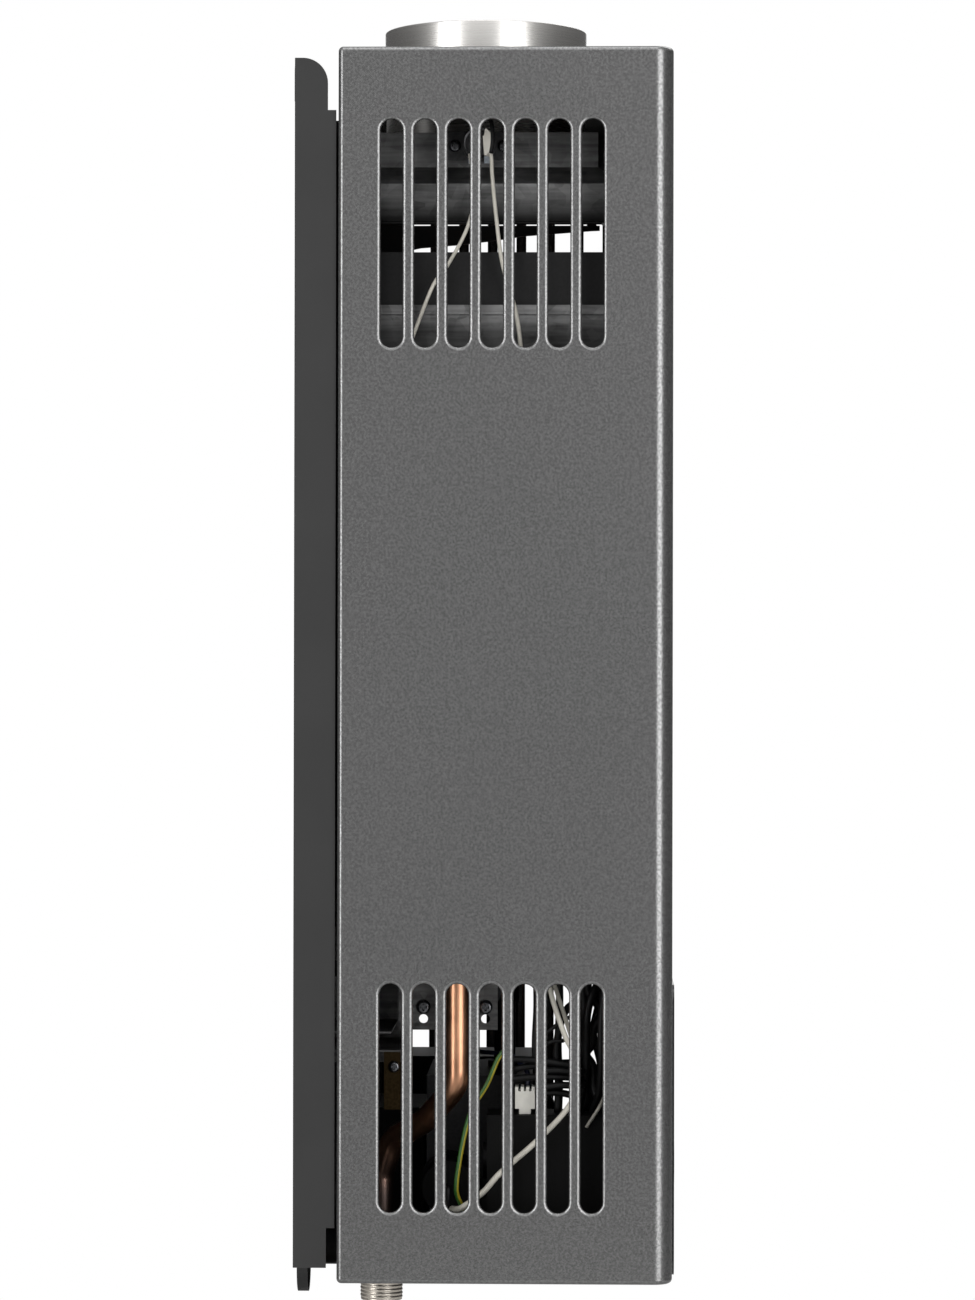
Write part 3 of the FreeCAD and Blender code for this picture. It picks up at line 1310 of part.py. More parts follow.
def make_battery_box():
    """Battery box through the bottom plate, and its hinged door."""
    x = ("-battery_left + 0.3", "-battery_right - 0.3")
    b = ("battery_front + 0.3", "battery_rear - 0.3")
    wall = "battery_wall"
    outer = box(x, b, ("tray_rise - 3", "battery_top"))
    rim = box(("-battery_left - 4", "-battery_right + 1"), ("battery_front - 4", "battery_rear + 3"),
              ("tray_rise - 2.2", "tray_rise - 0.1"))
    inner = box((x[0] + " + " + wall, x[1] + " - " + wall), (b[0] + " + " + wall, b[1] + " - " + wall),
                ("0", "battery_top - " + wall))
    hinge_u = "(tray_rise - 5)"
    hinge_b = "(battery_rear + 0.5)"
    ears = []
    for start in ("-battery_left + 4", "-battery_right - 7"):
        ears.append(box((start, start + " + 3"), (hinge_b + " - 2.5", hinge_b + " + 2.5"),
                        (hinge_u + " - 2.5", "tray_rise - 2")))
    pin_bore = rod("x", "1.2 + running_fit", "cover_width/2", "-battery_left - 5", hinge_b, hinge_u)
    keep(minus(fused([outer, rim] + ears), [inner, pin_bore]), "battery_box")
    low = "(tray_rise - 3.2 - battery_door_wall)"
    plate = box(("-battery_left + 0.3", "-battery_right - 0.3"), ("battery_front", "battery_rear - 3"),
                (low, low + " + battery_door_wall"))
    barrel = rod("x", "1.8", "battery_left - battery_right - 15", "-battery_left + 7.5", hinge_b,
                 hinge_u)
    web = box(("-battery_left + 7.5", "-battery_right - 7.5"), ("battery_rear - 4", hinge_b),
              (low + " + 0.2", low + " + battery_door_wall"))
    pin = rod("x", "1.2", "battery_left - battery_right - 8", "-battery_left + 4", hinge_b, hinge_u)
    lip = box(("-battery_left/2 - 12", "-battery_left/2 + 4"), ("battery_front - 3", "battery_front"),
              (low, low + " + 1.2"))
    keep(fused([plate, web, barrel, pin, lip]), "battery_door")


def thermostat(side_x, b, u, ceramic_length):
    """A disc thermostat on a side wall: its eared steel cap and its ceramic body."""
    flange = box((side_x + " - 0.6", side_x), (b + " - 16", b + " + 16"), (u + " - 7", u + " + 7"))
    can = rod("-x", "8", "6", side_x, b, u)
    ceramic = rod("-x", "7", ceramic_length, side_x + " - 6", b, u)
    screws = [screw("x", side_x + " - 0.6", b + shift, u, head=3.0, length=2.0)
              for shift in (" - 12", " + 12")]
    return fused([flange, can]), ceramic, screws


def make_electrics():
    """Ignition module, thermostats and electrodes."""
    left = "(-module_right - module_width)"
    floor = "(tray_rise + tray_wall)"
    top = floor + " + module_height"
    rear = "(module_front + module_length)"
    case = box((left, "-module_right"), ("module_front", rear), (floor, top))
    socket = box((left + " + 6", "-module_right - 10"), (rear, rear + " + 3"),
                 (floor + " + 14", floor + " + 28"))
    keep(fused([case, socket]), "ignition_module")
    plug_x = (left + " + 6", "-module_right - 12")
    plug = box(plug_x, (rear + " - 23", rear + " - 13.5"), (top + " + 2.5", top + " + 11"))
    stem = box(plug_x, (rear + " - 21", rear + " - 15.5"), (top, top + " + 2.5"))
    teeth = [box(plug_x, (rear + " - %s" % b, rear + " - %s" % (b - 1.5)), (top + " + 11", top + " + 13.1"))
             for b in (23, 20.3, 17.7, 15)]
    keep(fused([plug, stem] + teeth), "module_connector")
    hood_side = "(-hood_upper_half)"
    hood_level = "(cover_height - hood_drop - hood_wall - 6)"
    first = thermostat(hood_side, "collar_back", hood_level, "9")
    second = thermostat("(-exchanger_half - 2 - chamber_wall)", "130", OVERHEAT_U, "4")
    keep(group([first[0], second[0]]), "thermostat_caps")
    keep(group([first[1], second[1]]), "thermostat_bodies")
    inner_screws.extend(first[2] + second[2])
    keep(group(inner_screws), "inner_screws")
    rods = []
    steel = [box(("-electrode_offset - 8", "electrode_offset + 8"),
                 ("chamber_front - 1", "chamber_front"), (ELECTRODE_U + " - 16", ELECTRODE_U + " + 5"))]
    for x in ("-electrode_offset", "electrode_offset"):
        rods.append(rod("y", "electrode_radius", "32", x, "chamber_front - 20", ELECTRODE_U))
        steel.append(rod("y", "0.9", "14", x, "chamber_front + 12", ELECTRODE_U))
    holes = [rod("y", "electrode_radius + running_fit", "6", x, "chamber_front - 3", ELECTRODE_U)
             for x in ("-electrode_offset", "electrode_offset")]
    keep(group(rods), "electrode_ceramics")
    keep(group([minus(steel[0], holes)] + steel[1:]), "electrode_bracket")


def lead(points, radius, bend=9.0):
    """An insulated lead along a route of x, b and u."""
    return swept([spot(*point) for point in points], number(radius), bend)


def make_leads():
    """Leads clipped inside the heater, each along its real route."""
    hood_face = "-hood_upper_half - 15"
    hood_level = "cover_height - hood_drop - hood_wall - 6"
    top = "cover_height - %s"
    near = "-cover_width/2 + 21"
    module_top = "tray_rise + tray_wall + module_height"
    module_rear = "module_front + module_length"
    module_x = "-module_right - module_width/2"
    floor = "tray_rise + tray_wall"
    to_module = [
        (hood_face, "collar_back - 4", hood_level),
        (hood_face + " - 9", "collar_back - 4", hood_level),
        (near, 87, top % 57),
        (near, 86, top % 79),
        (near, 83, top % 102),
        (near, 75, top % 128),
        (near, 71, top % 160),
        (near, 62, "cover_height*0.64"),
        (near, 60, "cover_height*0.52"),
        (near, 62, "chamber_foot + 14"),
        (near, 60, "burner_foot + 30"),
        (near, 58, module_top + " + 62"),
        (near, 50, module_top + " + 36"),
        (near, 46, module_top + " + 19"),
        (near, 50, module_top + " + 3"),
        (near, 66, floor + " + 56"),
        (near, 82, floor + " + 42"),
        (near, 91, floor + " + 32"),
        (near + " + 2", 102, floor + " + 24"),
        (module_x + " - 6", 106, floor + " + 22"),
        (module_x, 100, floor + " + 21"),
        (module_x, module_rear + " + 3", floor + " + 21"),
    ]
    to_overheat = [
        (hood_face, "collar_back + 4", hood_level),
        (hood_face + " - 9", "collar_back + 4", hood_level),
        (near, 98, top % 63),
        (near, 99, top % 84),
        (near, 108, top % 102),
        (near, 115, top % 115),
        (near, 123.5, top % 131),
        (near + " - 8", 129, top % 150),
        (near + " - 9", 130, OVERHEAT_U),
        ("-exchanger_half - 2 - chamber_wall - 10", 130, OVERHEAT_U),
    ]
    white = [lead(to_module, "wire_radius"), lead(to_overheat, "wire_radius")]
    shaped("thermostat_leads", white)
    black = []
    for index, x in enumerate(("-electrode_offset", "electrode_offset")):
        spread = 5.0 * index
        route = [
            (x, "chamber_front - 20", ELECTRODE_U),
            (x, "chamber_front - 28", ELECTRODE_U),
            (x + " - 6", "chamber_front - 30", ELECTRODE_U + " - 14"),
            ("-chamber_half/2 - 3 + %s" % spread, 12 + spread, "burner_foot + %s" % (22 - spread)),
            ("-chamber_half + %s" % (14 + spread), 20 + spread, "burner_foot + %s" % (2 - spread)),
            (near + " + %s" % (5 + spread), 34 + spread, module_top + " + %s" % (58 - 2 * spread)),
            (near + " + %s" % (3 + spread), 44 - 1.4 * spread, module_top + " + 34"),
            (near + " + %s" % (14 + spread), 36 + 1.4 * spread, module_top + " + 15"),
            (module_x, 38 + 1.4 * spread, module_top + " + 9"),
            (module_x, 38 + 1.4 * spread, module_top),
        ]
        black.append(lead(route, "lead_radius"))
    board_lead = [
        ("-window_half", "cover_wall + 8", "window_rise + 6"),
        ("-window_half", "cover_wall + 16", "window_rise + 6"),
        ("-chamber_half/2", 24, "window_rise + 18"),
        ("-chamber_half + 20", 34, "window_rise + 22"),
        (module_x + " + 4", 50, module_top + " + 30"),
        (module_x, 55, module_top + " + 12"),
        (module_x, 55, module_top),
    ]
    black.append(lead(board_lead, "lead_radius"))
    back = "valve_back + 16"
    can_end = "-gas_valve_left - solenoid_length"
    coil = [
        (can_end, back, "valve_rise - 10"),
        (can_end + " - 7", back, "valve_rise - 10"),
        (can_end + " - 7", back, floor + " + 16"),
        (module_x, module_rear + " + 12", floor + " + 15"),
        (module_x, module_rear + " + 3", floor + " + 15"),
    ]
    black.append(lead(coil, "wire_radius", 4.0))
    shaped("ignition_leads", black)
    earth = [
        ("-chamber_half - bracket_wall", 97, "bracket_foot + 4"),
        ("-chamber_half - bracket_wall - 8", 97, "bracket_foot + 4"),
        (near + " + 16", 93, "bracket_foot - 6"),
        (near + " + 4", 87, "bracket_foot - 16"),
        (near + " + 3", 90.6, "bracket_foot - 24.4"),
        (near + " + 3", 95.5, floor + " + 72.5"),
        (near + " + 3", 98.3, floor + " + 63.3"),
        (near + " + 4", 101, floor + " + 44.5"),
        (near + " + 8", 97, floor + " + 31"),
        (near + " + 8", 97, floor),
    ]
    shaped("earth_lead", [lead(earth, "lead_radius", 5.0)])
    plug_top = module_top + " + 13.1"
    plug_b = module_rear + " - 19.55"
    valve = [
        (module_x, plug_b, plug_top),
        (module_x, plug_b, plug_top + " + 7"),
        (module_x + " + 12", "valve_back - 14", plug_top + " + 14"),
        (module_x + " + 50", "valve_back + 8", plug_top + " + 12"),
        ("-gas_offset", "valve_back + 14", "valve_rise + gas_block_top + 3"),
        ("gas_valve_right - 6", "valve_back + 16", "valve_rise + 38"),
        ("gas_valve_right + 4", "valve_back + 14", "valve_rise + 30"),
        ("gas_valve_right + 4", "valve_back + 3", "valve_rise + 30"),
    ]
    shaped("signal_lead", [lead(valve, "wire_radius")])


def build():
    """Makes every piece of the heater."""
    make_front_cover()
    make_back_plate()
    make_bottom_plate()
    make_cover_screws()
    make_flue_collar()
    make_exhaust_hood()
    make_hood_baffle()
    make_hood_straps()
    make_exchanger()
    make_chamber()
    make_burner()
    make_brackets()
    make_gas_path()
    make_water_valve()
    make_switch()
    make_knobs()
    make_control_panel()
    make_connections()
    make_battery_box()
    make_electrics()
    make_leads()


def check():
    """Stops if a feature failed, cut nothing, or left a piece with no valid solid."""
    problems = []
    for thing in document.Objects:
        if "Invalid" in thing.State or "Error" in thing.State:
            problems.append("%s: %s" % (thing.Label, thing.State))
        elif thing.TypeId in ("PartDesign::Pocket", "PartDesign::SubtractiveLoft"):
            if thing.Shape.Volume > thing.BaseFeature.Shape.Volume - 0.1:
                problems.append("%s cut nothing" % thing.Label)
    for node in nodes:
        if node.Shape.isNull() or not node.Shape.isValid() or not node.Shape.Solids:
            problems.append("%s: no valid shape" % node.Label)
    if problems:
        raise RuntimeError("; ".join(problems))


def write():
    """Writes each piece to its own file."""
    os.makedirs("parts", exist_ok=True)
    for node in nodes:
        node.Shape.exportStep(os.path.join("parts", node.Label + ".step"))


build()
document.recompute()
check()
write()
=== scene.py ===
import json
import math

import bmesh
import bpy
from bpy.props import FloatProperty, FloatVectorProperty, IntProperty, PointerProperty
from mathutils import Matrix, Vector


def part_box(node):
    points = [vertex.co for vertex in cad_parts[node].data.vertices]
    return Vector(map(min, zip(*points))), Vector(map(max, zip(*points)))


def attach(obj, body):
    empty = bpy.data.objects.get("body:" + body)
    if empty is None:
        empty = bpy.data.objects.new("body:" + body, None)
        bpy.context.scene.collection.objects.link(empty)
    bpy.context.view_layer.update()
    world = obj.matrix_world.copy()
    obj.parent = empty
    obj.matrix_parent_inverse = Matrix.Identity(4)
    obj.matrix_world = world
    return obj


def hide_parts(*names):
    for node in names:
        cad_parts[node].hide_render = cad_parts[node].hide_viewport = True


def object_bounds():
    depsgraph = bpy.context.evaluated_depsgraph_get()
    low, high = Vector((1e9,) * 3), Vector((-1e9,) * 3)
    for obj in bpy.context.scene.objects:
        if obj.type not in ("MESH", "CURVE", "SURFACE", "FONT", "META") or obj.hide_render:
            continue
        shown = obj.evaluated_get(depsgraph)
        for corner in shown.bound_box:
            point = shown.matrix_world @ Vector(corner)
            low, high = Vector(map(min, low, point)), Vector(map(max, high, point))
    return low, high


bl_info = {
    "name": "Gas Water Heater Looks",
    "version": (1, 0, 0),
    "blender": (4, 5, 0),
    "location": "View3D > Sidebar > Heater",
    "description": "Dresses a wall-hung gas water heater: coated cover, galvanised hood, copper and wiring",
    "category": "Object",
}

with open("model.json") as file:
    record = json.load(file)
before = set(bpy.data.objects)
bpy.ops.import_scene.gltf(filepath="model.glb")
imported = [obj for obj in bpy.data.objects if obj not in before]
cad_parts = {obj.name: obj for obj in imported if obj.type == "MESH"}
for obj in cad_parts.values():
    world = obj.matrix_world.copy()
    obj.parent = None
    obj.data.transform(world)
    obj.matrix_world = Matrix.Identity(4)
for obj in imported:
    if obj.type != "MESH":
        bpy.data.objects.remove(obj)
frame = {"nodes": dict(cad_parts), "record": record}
CAD_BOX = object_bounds()
NODES = frame["nodes"]
BODY_OF = {name: body for body, names in frame["record"]["behaviour"]["bodies"].items() for name in names}

# Places are x from the middle, b back from the cover's front and u up from its foot, in millimetres
MM = 0.001
COVER_LOW, COVER_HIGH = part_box("front_cover")
COVER_WIDTH = (COVER_HIGH.x - COVER_LOW.x) / MM
COVER_DEPTH = (COVER_HIGH.y - COVER_LOW.y) / MM
COVER_HEIGHT = (COVER_HIGH.z - COVER_LOW.z) / MM
HALF_WIDTH = COVER_WIDTH / 2


def linear(code):
    """A colour written as sRGB hex, as linear red, green and blue."""
    values = [int(code[i:i + 2], 16) / 255 for i in (1, 3, 5)]
    return tuple(v / 12.92 if v <= 0.04045 else ((v + 0.055) / 1.055) ** 2.4 for v in values)


def colour(prop_name, text, code):
    """A colour that the user can change."""
    return FloatVectorProperty(name=prop_name, description=text, subtype="COLOR", size=3,
                               min=0.0, max=1.0, default=linear(code))


def length(prop_name, text, millimetres):
    """A length that the user can change, given in millimetres."""
    return FloatProperty(name=prop_name, description=text, subtype="DISTANCE", unit="LENGTH",
                         default=millimetres * MM, precision=5)


class CasingLooks(bpy.types.PropertyGroup):
    coat: colour("Powder coat", "Colour of the cover's graphite powder coat", "#727272")
    plate_coat: colour("Plate paint", "Colour of the back and bottom plates' paint", "#1d1d1d")
    lip_width: length("Slot lip", "Width of the pressed lip round each air slot", 1.65)
    lip_depth: length("Lip depth", "How far a slot's lip reaches inward", 1.9)
    edge_radius: length("Top edge", "Radius of the bend round the cover's top and underside", 2.2)
    slot_pitch: length("Slot pitch", "Distance from one air slot to the next", 16.0)
    slot_width: length("Slot width", "Width of the opening of an air slot", 10.5)
    slot_length: length("Slot length", "Height of an air slot from end to end", 109.0)
    slot_count: IntProperty(name="Slots", description="Air slots in each group", default=7, min=1)


class MetalLooks(bpy.types.PropertyGroup):
    steel: colour("Stainless steel", "Colour of the flue collar", "#c0bebb")
    zinc: colour("Galvanised sheet", "Colour of the hood and chamber", "#6b6b6b")
    copper: colour("Copper", "Colour of the water pipes", "#e9ae8a")
    spangle: length("Spangle", "Width of one zinc crystal on galvanised sheet", 6.0)
    thread_pitch: length("Thread pitch", "Distance from one pipe thread to the next", 1.814)


class StageLooks(bpy.types.PropertyGroup):
    floor_colour: colour("Floor", "Colour of the floor under the heater", "#e9e9e8")
    fill: FloatProperty(name="Fill", description="Strength of the light from all round", default=0.2)


def add(tree, kind, settings=None, links=None, stops=(), **attributes):
    """Adds one shader node to a tree, with its attributes, its sockets' values and links, and its stops.

    A link comes from a socket, or from a node's first output in use."""
    node = tree.nodes.new("ShaderNode" + kind)
    for key, value in attributes.items():
        setattr(node, key, value)
    for key, value in (settings or {}).items():
        node.inputs[key].default_value = value
    for key, source in (links or {}).items():
        if isinstance(source, bpy.types.Node):
            source = next(socket for socket in source.outputs if socket.enabled)
        tree.links.new(source, node.inputs[key])
    while stops and len(node.color_ramp.elements) < len(stops):
        node.color_ramp.elements.new(1.0)
    for index, (spot, shade) in enumerate(stops):
        node.color_ramp.elements[index].position = spot
        node.color_ramp.elements[index].color = (*shade, 1.0)
    return node


def blank(name):
    """A new material with its empty tree, and places on the piece in metres."""
    material = bpy.data.materials.new(name)
    material.use_nodes = True
    tree = material.node_tree
    tree.nodes.clear()
    return material, tree, add(tree, "TexCoord").outputs["Object"]


def finished(material, settings, tint=None, relief=None, rough=None):
    """Closes a material with its one principled shader, coloured by a node.

    Relief is a pattern, its strength and its depth in millimetres; rough is a pattern and its range."""
    tree = material.node_tree
    links = {} if tint is None else {"Base Color": tint}
    if relief is not None:
        height, strength, depth = relief
        links["Normal"] = add(tree, "Bump", {"Strength": strength, "Distance": depth * MM},
                              {"Height": height})
    if rough is not None:
        pattern, low, high = rough
        links["Roughness"] = add(tree, "MapRange", {"To Min": low, "To Max": high}, {"Value": pattern})
    shader = add(tree, "BsdfPrincipled", settings, links)
    add(tree, "OutputMaterial", links={"Surface": shader})
    return material


def shades(tint, dark, light, low=0.35, high=0.65):
    """The two stops of a ramp from a darker to a lighter share of one colour."""
    return [(spot, [min(1.0, channel * share) for channel in tint])
            for spot, share in ((low, dark), (high, light))]


def graphite_powder_coat(looks):
    """Polyester powder coat with metal flake: satin, finely speckled, with a faint orange peel."""
    material, tree, place = blank("graphite_powder_coat")
    # The real flake is finer, and is drawn as coarse as it needs to show
    flake_size, peel_size, patch_size = 1.15 * MM, 0.7 * MM, 90 * MM
    flake = add(tree, "TexNoise", {"Scale": 1 / flake_size, "Detail": 0.0}, {"Vector": place})
    patch = add(tree, "TexNoise", {"Scale": 1 / patch_size, "Detail": 1.0}, {"Vector": place})
    both = add(tree, "Mix", {"Factor": 0.08}, {"A": flake, "B": patch})
    tint = add(tree, "ValToRGB", links={"Fac": both}, stops=shades(looks.coat, 0.84, 1.17, 0.34, 0.66))
    peel = add(tree, "TexNoise", {"Scale": 1 / peel_size, "Detail": 1.0}, {"Vector": place})
    return finished(material, {"Metallic": 0.75, "Roughness": 0.27}, tint, relief=(peel, 0.5, 0.05))


def matt_plate_paint(looks):
    """Thin matt primer on pressed sheet: flat, with soft paler patches where it was handled."""
    material, tree, place = blank("matt_plate_paint")
    patch_size, grain_size = 45 * MM, 0.8 * MM
    patch = add(tree, "TexNoise", {"Scale": 1 / patch_size, "Detail": 2.0}, {"Vector": place})
    tint = add(tree, "ValToRGB", links={"Fac": patch}, stops=shades(looks.plate_coat, 0.88, 1.12))
    grain = add(tree, "TexNoise", {"Scale": 1 / grain_size, "Detail": 1.0}, {"Vector": place})
    return finished(material, {"Metallic": 0.0, "Roughness": 0.62, "IOR": 1.45}, tint,
                    relief=(grain, 0.4, 0.03))


def spun_stainless(looks):
    """Spun stainless steel: satin, with fine rings left by turning round the collar."""
    material, tree, place = blank("spun_stainless")
    # The real rings are closer, and are drawn as coarse as they need to show
    ring_gap, blur_gap = 0.7 * MM, 60 * MM
    stretch = add(tree, "Mapping", {"Scale": (1 / blur_gap, 1 / blur_gap, 1 / ring_gap)}, {"Vector": place})
    rings = add(tree, "TexNoise", {"Scale": 1.0, "Detail": 3.0}, {"Vector": stretch})
    tint = add(tree, "ValToRGB", links={"Fac": rings}, stops=shades(looks.steel, 0.97, 1.02))
    return finished(material, {"Metallic": 1.0, "Roughness": 0.27}, tint,
                    relief=(rings, 0.03, 0.001), rough=(rings, 0.26, 0.29))


def galvanised_sheet(looks, name, unshaded_height=None, shaded_height=None, shade_share=1.0):
    """Hot-dip zinc on steel: dull grey crystals, rolling streaks and stains.

    Painted shade darkens it from the upper height down to a share of its colour at the lower height."""
    material, tree, place = blank(name)
    streak_width, streak_length, stain_size = 2.2 * MM, 40 * MM, 25 * MM
    crystals = add(tree, "TexVoronoi", {"Scale": 1 / looks.spangle, "Randomness": 1.0}, {"Vector": place})
    grey = add(tree, "RGBToBW", links={"Color": crystals.outputs["Color"]})
    stretch = add(tree, "Mapping", {"Scale": (1 / streak_length, 1 / streak_length, 1 / streak_width)},
                  {"Vector": place})
    streaks = add(tree, "TexNoise", {"Scale": 1.0, "Detail": 4.0}, {"Vector": stretch})
    stains = add(tree, "TexNoise", {"Scale": 1 / stain_size, "Detail": 5.0}, {"Vector": place})
    rolled = add(tree, "Mix", {"Factor": 0.75}, {"A": grey, "B": streaks})
    both = add(tree, "Mix", {"Factor": 0.5}, {"A": rolled, "B": stains})
    zinc = add(tree, "ValToRGB", links={"Fac": both}, stops=shades(looks.zinc, 0.34, 1.6, 0.36, 0.64))
    # Painted shade: the colour darkens from the upper height down to a share of itself at the lower height
    if unshaded_height is not None:
        level = COVER_LOW.z - NODES["exhaust_hood"].matrix_world.translation.z
        parts = add(tree, "SeparateXYZ", links={"Vector": place})
        share = add(tree, "MapRange", {"From Min": level + shaded_height * MM, "From Max": level + unshaded_height * MM,
                                       "To Min": shade_share}, {"Value": parts.outputs["Z"]})
        zinc = add(tree, "VectorMath", links={0: zinc, "Scale": share}, operation="SCALE")
    return finished(material, {"Metallic": 0.75, "Roughness": 0.5}, zinc,
                    relief=(both, 0.3, 0.05), rough=(both, 0.38, 0.62))


def drawn_copper(looks):
    """Drawn copper tube, bent and annealed: bright where rubbed, stained elsewhere, dusty at its foot."""
    material, tree, place = blank("drawn_copper")
    stain_size, scratch_width, scratch_length = 16 * MM, 0.7 * MM, 20 * MM
    dusty_below, clean_above = 34 * MM, 72 * MM
    stains = add(tree, "TexNoise", {"Scale": 1 / stain_size, "Detail": 4.0}, {"Vector": place})
    metal = add(tree, "ValToRGB", links={"Fac": stains}, stops=shades(looks.copper, 0.72, 1.06, 0.3, 0.55))
    parts = add(tree, "SeparateXYZ", links={"Vector": place})
    rise = add(tree, "MapRange",
               {"From Min": COVER_LOW.z + dusty_below, "From Max": COVER_LOW.z + clean_above},
               {"Value": parts.outputs["Z"]})
    dusty = add(tree, "Mix", {"A": (*linear("#8d7a74"), 1.0)}, {"Factor": rise, "B": metal}, data_type="RGBA")
    stretch = add(tree, "Mapping",
                  {"Scale": (1 / scratch_width, 1 / scratch_width, 1 / scratch_length)}, {"Vector": place})
    marks = add(tree, "TexNoise", {"Scale": 1.0, "Detail": 2.0}, {"Vector": stretch})
    return finished(material, {"Metallic": 1.0, "Roughness": 0.3}, dusty,
                    relief=(marks, 0.3, 0.03), rough=(stains, 0.26, 0.4))


def plain_surface(name, code, metallic, roughness, grain, depth, spread, settings):
    """A finish with one fine grain, as a row of the table below gives it."""
    material, tree, place = blank(name)
    pattern = add(tree, "TexNoise", {"Scale": 1 / (grain * MM), "Detail": 3.0}, {"Vector": place})
    tint = add(tree, "ValToRGB", links={"Fac": pattern}, stops=shades(linear(code), 1 - spread, 1 + spread))
    return finished(material, {"Metallic": metallic, "Roughness": roughness, **settings}, tint,
                    relief=(pattern, 0.5, depth))


# Name, colour, metallic, roughness, grain and its relief in millimetres, spread of shade, other settings
PLAIN_FINISHES = (
    # Heat-proof silicone paint: dead matt, near black, with a slight sand texture
    ("heatproof_stove_paint", "#0c0c0d", 0.0, 0.6, 1.5, 0.06, 0.3, {"IOR": 1.35}),
    # Sand-cast brass, dull and slightly grainy, its colour painted dark brown as the shade inside the casing
    ("cast_brass_in_painted_shade", "#33291a", 1.0, 0.45, 1.2, 0.08, 0.2, {}),
    # Nickel-plated brass of the connections, warm grey and a little scuffed
    ("nickel_plated_brass", "#bfb8ae", 1.0, 0.33, 1.6, 0.01, 0.08, {}),
    # Turned brass, brighter and smoother than the casting
    ("turned_brass", "#c2a15f", 1.0, 0.25, 3.0, 0.01, 0.1, {}),
    # Pressure die-cast aluminium, its colour painted near black as the shade inside the casing, with the skin
    # of the mould
    ("die_cast_aluminium_in_painted_shade", "#1e1e20", 0.5, 0.55, 1.4, 0.06, 0.25, {}),
    # Bright zinc plating on steel, slightly blue
    ("zinc_plated_steel", "#b4bcc4", 1.0, 0.28, 2.0, 0.01, 0.12, {}),
    # Steel cup gone dark with heat
    ("heat_darkened_steel", "#4a4a4b", 1.0, 0.4, 2.0, 0.02, 0.2, {}),
    # Black zinc on the assembly screws, worn to grey on their heads
    ("black_zinc_plate", "#707174", 1.0, 0.3, 2.0, 0.01, 0.2, {}),
    # Moulded ABS with a fine spark-eroded texture
    ("moulded_black_abs", "#080808", 0.0, 0.6, 0.9, 0.04, 0.12, {"Specular IOR Level": 0.1}),
    # Gloss ABS moulding of the front panel
    ("gloss_black_abs", "#141416", 0.0, 0.16, 30.0, 0.02, 0.05, {"IOR": 1.53}),
    # Satin grey knobs
    ("satin_grey_abs", "#55565a", 0.0, 0.34, 0.8, 0.02, 0.08, {"IOR": 1.5}),
    # Natural nylon connector housings, milky and slightly waxy
    ("natural_nylon", "#dad8d0", 0.0, 0.4, 6.0, 0.02, 0.06, {"IOR": 1.53}),
    # Smoked acrylic pane, polished
    ("smoked_acrylic", "#060607", 0.0, 0.05, 40.0, 0.005, 0.1, {"IOR": 1.49}),
    # EPDM grommets, matt black
    ("moulded_epdm", "#1a1a1a", 0.0, 0.7, 0.8, 0.05, 0.15, {}),
    # Steatite insulators under a clear glaze
    ("glazed_steatite", "#e6e2d8", 0.0, 0.18, 8.0, 0.01, 0.05, {"IOR": 1.6}),
    # White silicone insulation, soft sheen
    ("white_silicone", "#cdc9be", 0.0, 0.45, 5.0, 0.01, 0.06, {}),
    # Black silicone insulation of the ignition leads, nearly without sheen
    ("black_silicone", "#0a0a0b", 0.0, 0.5, 5.0, 0.01, 0.1, {"Specular IOR Level": 0.25}),
    # Grey silicone insulation, lightly dusty
    ("grey_silicone", "#a39f95", 0.0, 0.5, 5.0, 0.01, 0.08, {}),
    # Dark blue PVC insulation, smooth and slightly glossy
    ("dark_blue_pvc", "#121833", 0.0, 0.35, 5.0, 0.01, 0.1, {}),
    # Green half of the earth lead's PVC insulation
    ("green_pvc", "#2c5a20", 0.0, 0.4, 5.0, 0.01, 0.1, {}),
    # Yellow half of the earth lead's PVC insulation
    ("yellow_pvc", "#a89a2a", 0.0, 0.4, 5.0, 0.01, 0.1, {}),
    # White ink of the dial marks and pointers
    ("screen_ink", "#d8d8d6", 0.0, 0.5, 2.0, 0.005, 0.03, {}),
)
FINISHES = {}


def finishes():
    """Every finish of the heater by its name, built once."""
    if not FINISHES:
        casing, metal = bpy.context.scene.heater_casing, bpy.context.scene.heater_metal
        for make, looks in ((graphite_powder_coat, casing), (matt_plate_paint, casing),
                            (spun_stainless, metal), (drawn_copper, metal)):
            FINISHES[make.__name__] = make(looks)
        # Heights where the hood's skirt and the chamber's top edge turn from lit to painted shade, and the
        # share of colour left at the lower
        for row in (("galvanised_sheet",), ("shaded_hood_sheet", 529.0, 511.0, 0.03),
                    ("shaded_chamber_sheet", 464.0, 456.0, 0.28)):
            FINISHES[row[0]] = galvanised_sheet(metal, *row)
        for row in PLAIN_FINISHES:
            FINISHES[row[0]] = plain_surface(*row)
    return FINISHES


def dress(finish, *names):
    """Gives each of the named nodes one finish in each of its slots."""
    material = finishes()[finish]
    for name in names:
        data = NODES[name].data
        if not data.materials:
            data.materials.append(material)
        for index in range(len(data.materials)):
            data.materials[index] = material


def placed(name, data):
    """A new object in the scene."""
    made = bpy.data.objects.new(name, data)
    bpy.context.scene.collection.objects.link(made)
    return made


def made_piece(mesh, name, finish, body="casing", smooth=True, crease=None):
    """A mesh as a finished piece, riding on its body, its edges sharp past the crease angle."""
    bmesh.ops.recalc_face_normals(mesh, faces=mesh.faces[:])
    data = bpy.data.meshes.new(name)
    mesh.to_mesh(data)
    mesh.free()
    for polygon in data.polygons:
        polygon.use_smooth = smooth
    data.materials.append(finishes()[finish])
    made = placed(name, data)
    if crease is not None:
        shade_by_angle(made, crease)
    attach(made, body)
    return made


def ring_edges(mesh, corners):
    """The edges round a closed ring of vertices, made where they're missing."""
    pairs = zip(corners, corners[1:] + corners[:1])
    return [mesh.edges.get(pair) or mesh.edges.new(pair) for pair in pairs]


